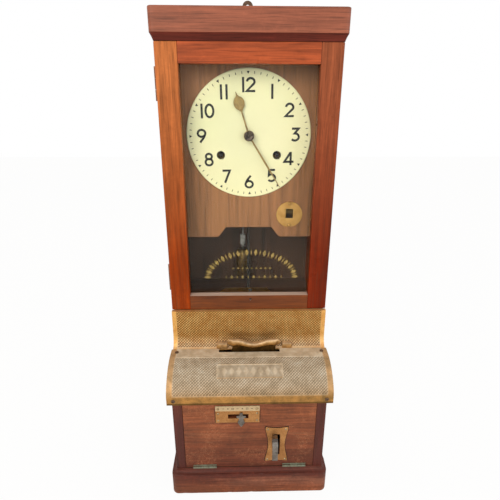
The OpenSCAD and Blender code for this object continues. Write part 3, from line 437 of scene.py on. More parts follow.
def plank(a, b):
    """A board's eight corners, from its lowest to its highest, and six faces."""
    points = [(x, y, z) for x in (a[0], b[0]) for y in (a[1], b[1]) for z in (a[2], b[2])]
    return points, [[0, 1, 3, 2], [4, 6, 7, 5], [0, 4, 5, 1], [2, 3, 7, 6], [0, 2, 6, 4],
                    [1, 5, 7, 3]]


def reached(line):
    """The distance of each point of a line from its start, along the line."""
    return np.append(0, np.cumsum(np.linalg.norm(np.diff(line, axis=0), axis=1)))


def front_run(front, back, half, turn, step):
    """A run round the case's left side, front and right side, as seen in plan.

    The corners turn on a radius, and the right side is the left one mirrored.
    Gives the points, their outward directions and the distance along the run."""
    side = np.linspace(back, front + turn, max(2, int((back - front) / step)))
    face = np.linspace(-half + turn, half - turn, max(2, int(2 * half / step)))
    angle = np.radians(np.linspace(0, 90, 9)[1:-1])
    corner = -np.stack([np.cos(angle), np.sin(angle)], 1)
    left = np.concatenate([np.stack([np.full_like(side, -half), side], 1),
                           [-half + turn, front + turn] + corner * turn])
    out_left = np.concatenate([np.tile([-1.0, 0.0], (len(side), 1)), corner])
    points = np.concatenate([left, np.stack([face, np.full_like(face, front)], 1),
                             left[::-1] * [-1, 1]])
    outward = np.concatenate([out_left, np.tile([0.0, -1.0], (len(face), 1)),
                              out_left[::-1] * [-1, 1]])
    return points, outward, reached(points)


def moulding(profile, run, dent=None):
    """A closed profile of (distance out, height) carried along a run.

    Each point is the run's point plus its outward direction times the distance
    out. dent(place along the run, distance out, height) takes some of it off."""
    points, outward, along_run = run
    profile = np.asarray(profile, float)
    out = np.repeat(profile[None, :, 0], len(points), 0)
    if dent:
        out = out - dent(along_run[:, None], profile[None, :, 0], profile[None, :, 1])
    flat = points[:, None, :] + outward[:, None, :] * out[..., None]
    rings = np.concatenate([flat, np.repeat(profile[None, :, 1:], len(points), 0)], 2)
    uv = np.stack(np.broadcast_arrays(along_run[:, None], reached(profile)), -1).reshape(-1, 2)
    return tube(rings), uv


def arc(cx, cz, radius, start, end, count):
    """Points on a circle from one angle to another, in degrees."""
    a = np.radians(np.linspace(start, end, count))
    return np.stack([cx + radius * np.cos(a), cz + radius * np.sin(a)], 1).tolist()


def tint(name, description, code):
    """A colour that a user may change, given as a hex code."""
    return bpy.props.FloatVectorProperty(name=name, description=description, subtype="COLOR",
                                         size=3, min=0.0, max=1.0, default=linear(code))


def length(name, description, size_mm, least_mm, most_mm):
    """A length that a user may change, given in millimetres."""
    return bpy.props.FloatProperty(name=name, description=description, unit="LENGTH",
                                   precision=4, default=size_mm * MM, min=least_mm * MM,
                                   max=most_mm * MM)


def moulded(name, profile, run, boards, look, node, dent=None):
    """Builds a moulding, with the boards behind it, in place of a CAD node."""
    solid, uv = moulding(profile, run, dent)
    uv = np.concatenate([uv] + [np.asarray(points)[:, :2] for points, _ in boards])
    built(name, [solid, *boards], look, "case", [node], run=uv)


class RecorderColours(bpy.types.PropertyGroup):
    """Colours of the boards and the metal"""
    hood: tint("Hood", "Front and sides of the hood", "#90513A")
    cove: tint("Cove", "Hollow moulding under the hood", "#5C2318")
    # The left stile is painted lighter and the right one darker: painted light and painted shade
    # on one wood.
    left_stile: tint("Left stile", "Door stile nearer the light", "#B86A38")
    right_stile: tint("Right stile", "Door stile on the other side", "#934E30")
    top_rail: tint("Top rail", "Upper rail of the door", "#A04A26")
    bottom_rail: tint("Bottom rail", "Lower rail of the door", "#70370F")
    case: tint("Case", "Side boards", "#74391A")
    inside: tint("Inside", "Bare boards inside the case", "#4E3524")
    dial_board: tint("Dial board", "Board behind the dial", "#8A5A34")
    lower_box: tint("Lower box", "Drop flap and rail above it", "#86492A")
    plinth: tint("Plinth", "Moulding round the foot", "#562417")
    bleached: tint("Bleached wood", "Where the polish has gone", "#A87258")
    brass: tint("Brass", "Old lacquered brass", "#F0BE70")
    brass_film: tint("Brass film", "Brown film on the brass", "#D89C50")
    dust: tint("Dust", "Dust lying on the apron", "#D0C4AE")
    enamel: tint("Enamel", "Dial enamel at its middle", "#DCD7AE")
    enamel_rim: tint("Enamel rim", "Dial enamel at its rim", "#E6DFB0")
    ink: tint("Ink", "Figures and marks of the dial", "#0C0C0A")


def finish(name):
    """The named finish, made the first time it is asked for."""
    if name in bpy.data.materials:
        return bpy.data.materials[name]
    c = bpy.context.scene.recorder_colours
    # Axis of the grain, colour, shift of the pattern, gloss and shine.
    wood = {
        "Mahogany hood": ((X, c.hood, 0.3, 0.34), dict(follows_run=True)),
        "Mahogany lid": ((X, c.hood, 1.3, 0.5), {}),
        "Mahogany cove": ((X, c.cove, 0.7, 0.36, 0.15), dict(follows_run=True)),
        # The two stiles' colours differ as painted light and painted shade.
        "Mahogany left stile": ((Z, c.left_stile, 0.2, 0.26, 0.12), dict(lower="#883200")),
        "Mahogany right stile": ((Z, c.right_stile, 0.9, 0.26, 0.12), dict(lower="#6C1E00")),
        "Mahogany top rail": ((X, c.top_rail, 0.5, 0.26, 0.2), dict(contrast=0.85)),
        "Mahogany bottom rail": ((X, c.bottom_rail, 1.7, 0.4), dict(lit_top="#C4A896")),
        "Mahogany case": ((Z, c.case, 2.1, 0.36), dict(lower="#4E2018", fade=(0.2, 0.42))),
        "Mahogany flap": ((X, c.lower_box, 2.9, 0.38), dict(
            lower="#5A2817", fade=(0.07, 0.22), scuffs=0.6, nicks=0.7, pale="#A87250")),
        "Mahogany plinth": ((X, c.plinth, 3.3, 0.42), dict(
            lower="#7C4428", fade=(0.0, 0.05), scuffs=0.8, pale=c.bleached, follows_run=True)),
    }
    if name in wood:
        given, more = wood[name]
        return polished_mahogany(name, *given, **more)
    # A metal's rows hold its colour, film, roughness, millimetres across a
    # cloud, specks, metal, dust, how much dust covers, and the heights between
    # which a groove clears and how much it hides.
    kind, *given = {
        "Planed board upright": (planed_board, Z, c.inside),
        "Planed board across": (planed_board, X, c.inside, 0.6),
        "Stained dial board": (planed_board, Z, c.dial_board, 0.4),
        "Lacquered brass": (aged_metal, "#D6A662", "#BA8848", 0.34, 24, "#5E3F1C"),
        "Rubbed brass": (aged_metal, "#D0A05E", "#8E6636", 0.34, 11, None, 1.0, c.dust, 0.5),
        # A dark brass for the wall under the mouth's lip, as painted shade.
        "Grimed brass": (aged_metal, "#5E4320", "#33240F", 0.5, 10),
        "Dull brass": (aged_metal, "#8A7044", "#59452A", 0.45, 16),
        "Escutcheon brass": (aged_metal, "#C8945F", "#AA794B", 0.4, 34, "#7A5228"),
        "Patterned brass": (aged_metal, c.brass, c.brass_film, 0.42, 24, "#6A4620", 1.0, c.dust,
                            0.7, (0.28, 0.54, 0.9)),
        "Dusty brass": (aged_metal, "#C08C4A", "#94713F", 0.45, 24, "#5E4830", 1.0, c.dust,
                        0.95, (0.08, 0.5, 0.8)),
        "Movement brass": (aged_metal, "#B08A4C", "#6E5430", 0.38),
        "Varnished brass": (aged_metal, "#8A5A3A", "#6E4026", 0.4, 12, None, 0.4),
        "Verdigris brass": (aged_metal, "#767E6C", "#6E6450", 0.55, 8, "#55665A", 0.3),
        "Bronzed hands": (aged_metal, "#A58A55", "#7C6540", 0.4, 9, None, 0.6),
        "Old gilding": (aged_metal, "#AC8C48", "#7A6434", 0.5, 6, None, 0.35),
        "Nickelled steel": (aged_metal, "#8E8883", "#67615A", 0.38, 16),
        "Blued steel": (aged_metal, "#5A4E44", "#2E2620", 0.32, 5, None, 0.8),
        "Plated screws": (aged_metal, "#C0AC88", "#86745A", 0.38, 4),
        "Turned steel": (aged_metal, "#9A9894", "#5E5A55", 0.34, 14),
        "Japanned iron": (aged_metal, "#3A3531", "#241F1C", 0.5, 24, None, 0.3),
        "Oiled hanger iron": (aged_metal, "#6A5444", "#54402F", 0.48, 9, None, 0.7),
        "Cream enamel": (dial_enamel, c.enamel, c.enamel_rim),
        "Dial ink": (worn_paint, c.ink, "#3A362A"),
        "Printed scale": (worn_paint, "#BFA67F", "#7C6A4C"),
        "Scale ink": (worn_paint, "#4A3E30", "#8C7B5A", 0.6),
        # Painted shadow and dirt round the plates on the flap.
        "Settled grime": (worn_paint, "#2A1810", "#5A3A28", 0.8),
        "Drawn glass": (drawn_glass,),
        "Inked ribbon": (inked_ribbon,),
    }[name]
    return kind(name, *given)


class RECORDER_OT_case(bpy.types.Operator):
    """Finishes the boards of the case"""
    bl_idname = "recorder.case"
    bl_label = "Case boards"

    def execute(self, context):
        dress(("Mahogany case", 1.0, "left_side", "right_side"),
              ("Planed board upright", 0.6, "back_board"),
              ("Planed board across", 0.4, "shelf_board", "base_board", "glass_beads"),
              ("Planed board across", 0.6, "case_cap"),
              ("Stained dial board", 0.5, "dial_board"),
              ("Oiled hanger iron", 0.4, "hanger_plate"),
              ("Turned steel", 0, "case_screws"))
        return {"FINISHED"}


class RECORDER_OT_hood(bpy.types.Operator):
    """Makes the hood's boards and the hollow moulding under them"""
    bl_idname = "recorder.hood"
    bl_label = "Hood"

    def execute(self, context):
        foot, top, back = low("hood_boards", Z), high("hood_boards", Z), high("hood_boards", Y)
        over = high("hood_boards", X) - CASE_HALF
        cove_foot, lid_z = low("hood_cove", Z), low("hood_lid", Z)
        run = front_run(DOOR_Y, back, CASE_HALF, 2.5 * MM, 5 * MM)
        soft, sharp, gap = 2.2 * MM, 0.6 * MM, 0.1 * MM
        face = [(0, foot), (over - sharp, foot), (over, foot + sharp),
                *arc(over - soft, top - soft, soft, 0, 90, 7), (0, top)]
        side_thick, front_thick, back_thick, back_in = np.array([14, 7.5, 14, 3]) * MM
        inner, front, rear = CASE_HALF - side_thick, DOOR_Y + gap, back - back_in
        boards = [plank((-inner, front, foot), (inner, DOOR_Y + front_thick, lid_z)),
                  plank((-inner, rear - back_thick, foot), (inner, rear, lid_z)),
                  plank((gap - CASE_HALF, front, foot), (-inner - gap, back, lid_z)),
                  plank((inner + gap, front, foot), (CASE_HALF - gap, back, lid_z))]
        moulded("hood_fascia", face, run, boards, "Mahogany hood", "hood_boards")
        share = np.linspace(0, 1, 10)
        sweep = 0.3 * MM + (over - 0.5 * MM) * (share - 0.1 * np.sin(np.pi * share))
        hollow = [(0, cove_foot), *zip(sweep, cove_foot + (foot - cove_foot) * share), (0, foot)]
        moulded("hood_hollow", hollow, run, [], "Mahogany cove", "hood_cove")
        dress(("Mahogany lid", 0.8, "hood_lid"))
        return {"FINISHED"}


class RECORDER_OT_plinth(bpy.types.Operator):
    """Makes the moulding round the foot, with its knocks and chips"""
    bl_idname = "recorder.plinth"
    bl_label = "Plinth"

    def execute(self, context):
        top = high("plinth", Z)
        over = high("plinth", X) - CASE_HALF
        cove_tall = 11 * MM
        shoulder = top - cove_tall
        run = front_run(LOW_Y, BACK_Y, CASE_HALF, 2.5 * MM, 1.6 * MM)
        corner_mm = (BACK_Y - LOW_Y) / MM
        rng = np.random.default_rng(7)
        # Knocks, in millimetres: place along the run, height, width, spread in
        # height and depth. The first three are listed one by one.
        knocks = [(corner_mm + 6, 60, 9, 4, 2.2), (corner_mm + 172, 54, 7, 4, 1.6),
                  (corner_mm + 196, 57, 5, 3, 1.4)]
        knocks += [(rng.uniform(0, run[2][-1] / MM), rng.choice([2.0, 55.0, 57.0]),
                    rng.uniform(2, 8), rng.uniform(1, 3), rng.uniform(0.3, 1.1))
                   for _ in range(34)]

        def dent(along_run, out, height):
            """Sum of knocks, each a bell curve along the run and in height."""
            s, z = along_run / MM, height / MM
            depth = 0.125 * np.sin(s / 37.0) * np.sin(z / 21.0) ** 2 + 0.1
            for at, level, wide, tall, deep in knocks:
                depth = depth + deep * np.exp(-((s - at) / wide) ** 2 - ((z - level) / tall) ** 2)
            return np.where(out > 1 * MM, np.minimum(np.maximum(depth, 0) * MM, out - 0.4 * MM), 0)

        face = [(0, 0), (over - 1.2 * MM, 0), (over - 0.3 * MM, 0.5 * MM), (over, 1.6 * MM),
                *[(over, z) for z in np.linspace(4 * MM, shoulder - 1.6 * MM, 26)],
                (over - 0.4 * MM, shoulder - 0.5 * MM), (over - 1.5 * MM, shoulder),
                *arc(over, top, over - 1 * MM, 262, 184, 9), (0.8 * MM, top), (0, top)]
        face = [(x, min(z, top)) for x, z in face]
        # A board behind the front, and a block from it back under the middle.
        short_of_side, board_thick, half_block, gap = np.array([21, 16, 30, 0.1]) * MM
        x, y, base = CASE_HALF - short_of_side, LOW_Y + board_thick, low("base_board", Z)
        block_end = high("base_board", Y) - gap
        blocks = [plank((-x, LOW_Y, 0), (x, y, base)),
                  plank((-half_block, y + gap, 0), (half_block, block_end, base))]
        moulded("plinth_moulding", face, run, blocks, "Mahogany plinth", "plinth",
                dent)
        return {"FINISHED"}


class RECORDER_OT_door(bpy.types.Operator):
    """Finishes the door's frame, pane, hinges and lock"""
    bl_idname = "recorder.door"
    bl_label = "Door"

    def execute(self, context):
        dress(("Mahogany left stile", 1.6, "door_left_stile"),
              ("Mahogany right stile", 1.6, "door_right_stile"),
              ("Mahogany top rail", 1.2, "door_top_rail"),
              ("Mahogany bottom rail", 1.2, "door_bottom_rail"),
              ("Drawn glass", 0.3, "door_glass"),
              ("Varnished brass", 0.3, "door_hinges", "door_hinge_pins"),
              ("Japanned iron", 0.3, "door_lock"))
        return {"FINISHED"}


def brush(line, width, front, back, closed=False, middle=(0.0, 0.0)):
    """A flat painted stroke, as a thin closed solid facing -Y.

    The line's points are in X and Z. At each one the two edges stand half the
    width away along the normal, lengthened by the mitre at a corner."""
    line = np.asarray(line, float) + middle
    if closed:
        before, after = line - np.roll(line, 1, 0), np.roll(line, -1, 0) - line
    else:
        step = np.diff(line, axis=0)
        before, after = np.concatenate([step[:1], step]), np.concatenate([step, step[-1:]])
    before /= np.linalg.norm(before, axis=1, keepdims=True)
    after /= np.linalg.norm(after, axis=1, keepdims=True)
    normal_a = np.stack([-before[:, 1], before[:, 0]], 1)
    normal = normal_a + np.stack([-after[:, 1], after[:, 0]], 1)
    normal /= np.linalg.norm(normal, axis=1, keepdims=True)
    reach = width / 2 / np.clip((normal * normal_a).sum(1), 0.45, 1)
    edge = normal * reach[:, None]
    sides = np.stack([line + edge, line - edge], 1)
    x, z = sides[:, [0, 1, 1, 0], 0], sides[:, [0, 1, 1, 0], 1]
    y = np.broadcast_to([front, front, back, back], x.shape)
    return tube(np.stack([x, y, z], -1), closed)


# Each figure of the dial as strokes, in a box 25 high and centred on X: its
# lines, and whether each is closed.
FIGURES = {
    "0": [([(6.2 * x, 12.5 + 10.5 * z) for x, z in arc(0, 0, 1, 0, 352, 45)], True)],
    "1": [([(0, 0), (0, 25)], False)],
    "2": [(arc(0, 17.2, 5.8, 176, -32, 18) + [(-6.6, 2), (6.9, 2)], False)],
    "3": [([(-5.8, 23), (5.2, 23), (-1.2, 14.6)] + arc(-0.6, 8.3, 6.3, 84, -142, 20), False)],
    "4": [([(8.4, 6.4), (-7, 6.4), (3.2, 23.6)], False), ([(3.4, 24.4), (3.4, 0)], False)],
    "5": [([(5.6, 23), (-4.4, 23), (-5, 12.6)] + arc(-0.6, 8.3, 6.3, 118, -142, 20), False)],
    "6": [(arc(0, 8.1, 6.1, 0, 350, 32), True),
          ([(2.8, 24.4), (0.4, 21), (-3.4, 15.6), (-5.4, 11)], False)],
    "7": [([(-6.2, 23), (6, 23), (-2.4, 0.2)], False)],
    "8": [(arc(0, 18.1, 4.9, 0, 348, 26), True), (arc(0, 7.8, 5.8, 0, 350, 30), True)],
}
FIGURES["9"] = [([(-x, 25 - z) for x, z in line], closed) for line, closed in FIGURES["6"]]
DIGITS_AT = {"10": (-8.6, 4.4), "11": (-4.6, 4.6), "12": (-8.0, 4.6)}


class RecorderDial(bpy.types.PropertyGroup):
    """Sizes of the dial's painted figures and marks"""
    figure_height: length("Figure height", "Height of the hour figures", 27.5, 15, 32)
    figure_stroke: length("Figure stroke", "Width of a stroke of the hour figures", 4.4, 2, 6)
    figure_circle: length("Figure circle", "Radius of the circle that the figures stand on",
                          94, 80, 100)
    mark_outside: length("Mark circle", "Radius to the outer end of the minute marks",
                         119, 110, 122)
    mark_length: length("Mark length", "Length of a minute mark", 4.6, 2, 8)


class RECORDER_OT_dial(bpy.types.Operator):
    """Finishes the dial and paints its figures and minute marks"""
    bl_idname = "recorder.dial"
    bl_label = "Dial"

    def execute(self, context):
        s = context.scene.recorder_dial
        dress(("Cream enamel", 0.5, "dial"))
        deep = DIAL_Y - 0.12 * MM, DIAL_Y + 0.2 * MM
        lean = math.radians(0.8)
        scale = s.figure_height / 25
        wedge_half, wedge_long, mark_wide, ring_wide = np.array([2.9, 5.4, 1.3, 1.1]) * MM
        marks = []
        for hour in range(1, 13):
            angle = math.radians(30 * hour) - lean
            at = np.array([math.sin(angle), math.cos(angle)]) * s.figure_circle
            at += [-0.7 * MM, DIAL_Z + 0.7 * MM]
            digits = str(hour)
            for digit, place in zip(digits, DIGITS_AT.get(digits, (0,))):
                for line, closed in FIGURES[digit]:
                    flat = (np.asarray(line) * [1.12, 1] + [place * 1.06, -12.5]) * scale
                    marks.append(brush(flat @ turned(lean), s.figure_stroke, *deep, closed, at))
        for minute in range(60):
            angle = math.radians(6 * minute) - lean
            way = np.array([math.sin(angle), math.cos(angle)])
            outer = way * s.mark_outside + [0, DIAL_Z]
            if minute % 5:
                marks.append(brush([outer, outer - way * s.mark_length], mark_wide, *deep))
            else:
                side = np.array([way[1], -way[0]]) * wedge_half
                corners = [outer + side, outer - side, outer - way * wedge_long]
                marks.append(slab(corners, deep))
        # A dark ring round each winding hole is painted shade, making the hole look wider.
        for side in (-WIND_X, WIND_X):
            marks.append(brush(arc(side, WIND_Z, 7.9 * MM, 0, 350, 36), ring_wide, *deep, True))
        built("dial_figures", marks, "Dial ink", "case", smooth=0)
        return {"FINISHED"}


class RECORDER_OT_hands(bpy.types.Operator):
    """Finishes the two hands and makes the cap over their centre"""
    bl_idname = "recorder.hands"
    bl_label = "Hands"

    def execute(self, context):
        dress(("Bronzed hands", 0.25, "hour_hand", "minute_hand"))
        front = low("minute_hand", Y)
        # A dished cap turned round the arbor, with a pin through its middle:
        # radius and height, in millimetres.
        profile = np.array([(2.0, 1.5), (2.4, 1.2), (2.5, 0.4), (6.2, 0.6), (7.0, 1.3), (8.6, 1.2),
                            (9.7, 0.3), (9.9, -1.2), (9.0, -1.6)]) * MM
        turn = np.radians(np.arange(0, 360, 10))
        cap = [[[r * math.cos(a), front - h, DIAL_Z + r * math.sin(a)] for a in turn]
               for r, h in profile]
        built("hand_cap", [tube(cap)], "Blued steel", "minute", smooth=50)
        return {"FINISHED"}


class RECORDER_OT_date(bpy.types.Operator):
    """Finishes the date plate and its number drum, and draws their marks"""
    bl_idname = "recorder.date"
    bl_label = "Date plate"

    def execute(self, context):
        dress(("Lacquered brass", 0.3, "date_plate"), ("Dull brass", 0.3, "date_drum"))
        front = low("dial_board", Y) - 2 * MM
        edges = []
        for up in (-24 * MM, 24 * MM):
            ring = arc(mid("date_plate", X), mid("date_plate", Z) + up, 3.4 * MM, 0, 345, 24)
            edges.append(brush(ring, 0.7 * MM, front - 0.15 * MM, front + 0.1 * MM, True))
        built("date_screw_edges", edges, "Dial ink", "case", smooth=0)
        start, middle = low("date_drum", X), [mid("date_drum", Y), mid("date_drum", Z)]
        radius = (high("date_drum", Z) - low("date_drum", Z)) / 2
        inner, outer = radius - 0.3 * MM, radius + 0.1 * MM
        lines = []
        for k in range(24):
            angle = math.radians(15 * k + 7.5)
            out = np.array([-math.cos(angle), math.sin(angle)])
            side = np.array([out[1], -out[0]]) * 0.5 * MM
            last = min(start + (21 if k % 4 == 0 else 17) * MM, high("date_drum", X) - 1 * MM)
            ring = [middle + out * r + side * e
                    for r, e in ((outer, 1), (outer, -1), (inner, -1), (inner, 1))]
            lines.append(tube([[[x, *point] for point in ring] for x in (start + 10 * MM, last)]))
        built("date_drum_marks", lines, "Dial ink", "drum", smooth=0)
        return {"FINISHED"}


class RECORDER_OT_movement(bpy.types.Operator):
    """Finishes the movement behind the dial, the pendulum and the down shaft"""
    bl_idname = "recorder.movement"
    bl_label = "Movement"

    def execute(self, context):
        dress(("Movement brass", 0.3, "movement_plates", "movement_posts", "spring_barrel_left",
               "spring_barrel_right", "escape_wheel"),
              ("Japanned iron", 0.3, "winding_arbor_left", "winding_arbor_right", "down_shaft"),
              ("Turned steel", 0.3, "anchor", "pendulum_rod"),
              ("Dull brass", 1.0, "pendulum_bob"))
        # A brass stop plate stands across the shelf, its upper corners cut off.
        outline = [(-66, 440), (-66, 449), (-54, 457), (44, 457), (51.5, 449), (51.5, 440)]
        plate = slab(np.array(outline) * MM, (DOOR_Y + 74 * MM, DOOR_Y + 76 * MM))
        built("shelf_plate", [plate], "Lacquered brass", "case", smooth=0)
        return {"FINISHED"}


class RECORDER_OT_printing(bpy.types.Operator):
    """Finishes the printing parts inside the lower box"""
    bl_idname = "recorder.printing"
    bl_label = "Printing parts"

    def execute(self, context):
        dress(("Japanned iron", 0.4, "recorder_frame", "card_receiver"),
              ("Turned steel", 0.3, "receiver_rails", "minute_type_wheel", "hour_type_wheel",
               "print_hammer"),
              ("Inked ribbon", 0.3, "ribbon_spool_left", "ribbon_spool_right"))
        return {"FINISHED"}


class RECORDER_OT_lower_box(bpy.types.Operator):
    """Finishes the drop flap, its hinges, escutcheons, pointer and lever"""
    bl_idname = "recorder.lower_box"
    bl_label = "Lower box"

    def execute(self, context):
        plates = "column_plate", "lever_plate"
        dress(("Mahogany flap", 1.4, "flap"),
              ("Mahogany flap", 0.8, "head_rail"),
              ("Verdigris brass", 0.4, "flap_hinge_leaves", "flap_hinge_pins"),
              ("Escutcheon brass", 0.6, *plates),
              ("Plated screws", 0.2, "plate_screws"),
              ("Printed scale", 0.4, "scale_strip"),
              ("Nickelled steel", 0.4, "column_pointer"),
              ("Nickelled steel", 1.0, "print_lever"))
        # A dark rim grown round each plate: painted shadow and dirt.
        shadow_and_dirt = [grime_round(node, 1.5 * MM, 0.3 * MM) for node in plates]
        built("plate_shadow_and_grime", shadow_and_dirt, "Settled grime", "flap", smooth=0)
        front = low("scale_strip", Y)
        deep = front - 0.1 * MM, front + 0.2 * MM
        marks = []
        for k in range(7):
            at = np.array([mid("scale_strip", X) + (k - 3) * 10.6 * MM, mid("scale_strip", Z)])
            wide, tall = np.array([(4.5, 1.2), (2.6, 2.8), (4.4, 3.4)][k % 3]) * MM / 2
            if k % 3 == 2:
                corners = at + np.array([(-1, -1), (1, -1), (1, 1), (-1, 1)]) * [wide, tall]
                marks.append(brush(corners, 0.9 * MM, *deep, True))
            else:
                marks.append(brush([at - [wide, 0], at + [wide, 0]], 2 * tall, *deep))
        built("scale_marks", marks, "Scale ink", "flap", smooth=0)
        return {"FINISHED"}


class RecorderCovers(bpy.types.PropertyGroup):
    """Sizes of the pattern pressed into the brass covers"""
    diamond: length("Diamond", "Pitch of the diamonds across the cover", 6.2, 4, 8)
    depth: length("Pattern depth", "Depth of the grooves between diamonds", 0.9, 0.1, 1.2)
    side_rim: length("Side rim", "Width of the plain rim at each side", 13, 6, 20)


def even_line(points, step):
    """A line resampled at even steps of its own length, with the normal on its
    left and the distance of each point from its start."""
    points = np.asarray(points, float)
    at = reached(points)
    want = np.append(np.arange(0, at[-1] - step * 0.3, step), at[-1])
    line = np.stack([np.interp(want, at, points[:, i]) for i in (0, 1)], 1)
    ahead = np.gradient(line, want, axis=0)
    ahead /= np.linalg.norm(ahead, axis=1, keepdims=True)
    return line, np.stack([-ahead[:, 1], ahead[:, 0]], 1), want


def pressed_sheet(outline, half, cell, relief, notch=None):
    """A bent brass sheet with relief on its outer face.

    The outline is (distance out, height) from the top down, run along X. The
    outer face is a grid four points to a diamond; each point moves inwards by
    relief(column, row, x, distance down). The inner face stands one wall
    behind, and flat faces close the edges. notch is the half width and the
    count of rows cut out of the top edge."""
    step = step_x = cell / 4
    line, normal, down = even_line(outline, step)
    normal = -normal if normal[0].min() < 0 else normal
    lines = [-half, half]
    if notch:
        slot, cut = notch
        step_x = slot / round(slot / step)
        lines = [-half, -slot, slot, half]
    reach = int(half / step_x - 0.3)
    index = np.arange(-reach, reach + 1)
    x = np.concatenate([[-half], index * step_x, [half]])
    column = np.concatenate([[-reach - 1], index, [reach + 1]])
    rows, cols, few = len(line), len(x), len(lines)
    deep, wear = relief(column[None, :], np.arange(rows)[:, None], x[None, :], down[:, None])
    flat = line[:, None, :] - normal[:, None, :] * deep[..., None]
    outer = np.stack([np.broadcast_to(x, deep.shape), DOOR_Y - flat[..., 0], flat[..., 1]], -1)
    back = line - normal * SHEET
    inner = np.stack([part.ravel() for part in np.broadcast_arrays(
        np.array(lines), DOOR_Y - back[:, :1], back[:, 1:])], -1)
    outer_at = np.arange(rows * cols).reshape(rows, cols)
    inner_at = np.arange(rows * few).reshape(rows, few) + rows * cols
    outer_faces = grid_faces(rows, cols).reshape(rows - 1, cols - 1, 4)
    inner_faces = grid_faces(rows, few, first=rows * cols).reshape(rows - 1, few - 1, 4)[..., ::-1]
    keep_outer = np.ones((rows - 1, cols - 1), bool)
    keep_inner = np.ones((rows - 1, few - 1), bool)
    edges = [(outer_at[::-1, 0], inner_at[::-1, 0]), (outer_at[:, -1], inner_at[:, -1]),
             (outer_at[-1, ::-1], inner_at[-1, ::-1])]
    if notch:
        left, right = np.abs(x + slot).argmin(), np.abs(x - slot).argmin()
        keep_outer[:cut, left:right] = False
        keep_inner[:cut, 1] = False
        edges += [(outer_at[0, :left + 1], inner_at[0, :2]),
                  (outer_at[:cut + 1, left], inner_at[:cut + 1, 1]),
                  (outer_at[cut, left:right + 1], inner_at[cut, 1:3]),
                  (outer_at[cut::-1, right], inner_at[cut::-1, 2]),
                  (outer_at[0, right:], inner_at[0, 2:])]
    else:
        edges.append((outer_at[0], inner_at[0]))
    faces = outer_faces[keep_outer].tolist() + inner_faces[keep_inner].tolist()
    for near, far in edges:
        if len(near) == len(far):
            faces += np.stack([near[1:], near[:-1], far[:-1], far[1:]], 1).tolist()
        else:
            faces.append([*near[::-1], *far])
    points = np.concatenate([outer.reshape(-1, 3), inner])
    used = np.unique(np.concatenate([np.ravel(f) for f in faces]))
    new = np.full(len(points), -1)
    new[used] = np.arange(len(used))
    wear = {key: np.append(np.broadcast_to(v, deep.shape), np.full(rows * few, 0.5))[used]
            for key, v in wear.items()}
    return points[used], [[int(new[i]) for i in f] for f in faces], wear


def diamonds(column, row, plain, depth):
    """Depth of small pyramids: a ramp up and down along each diagonal of the
    grid, the lower of the two, four grid points to a diamond."""
    rise = np.minimum(*[1 - np.abs(2 * ((diagonal / 4) % 1) - 1)
                        for diagonal in (column + row, column - row)])
    return np.where(plain, depth * 0.25, depth * (1 - rise)), np.where(plain, 0.8, rise)


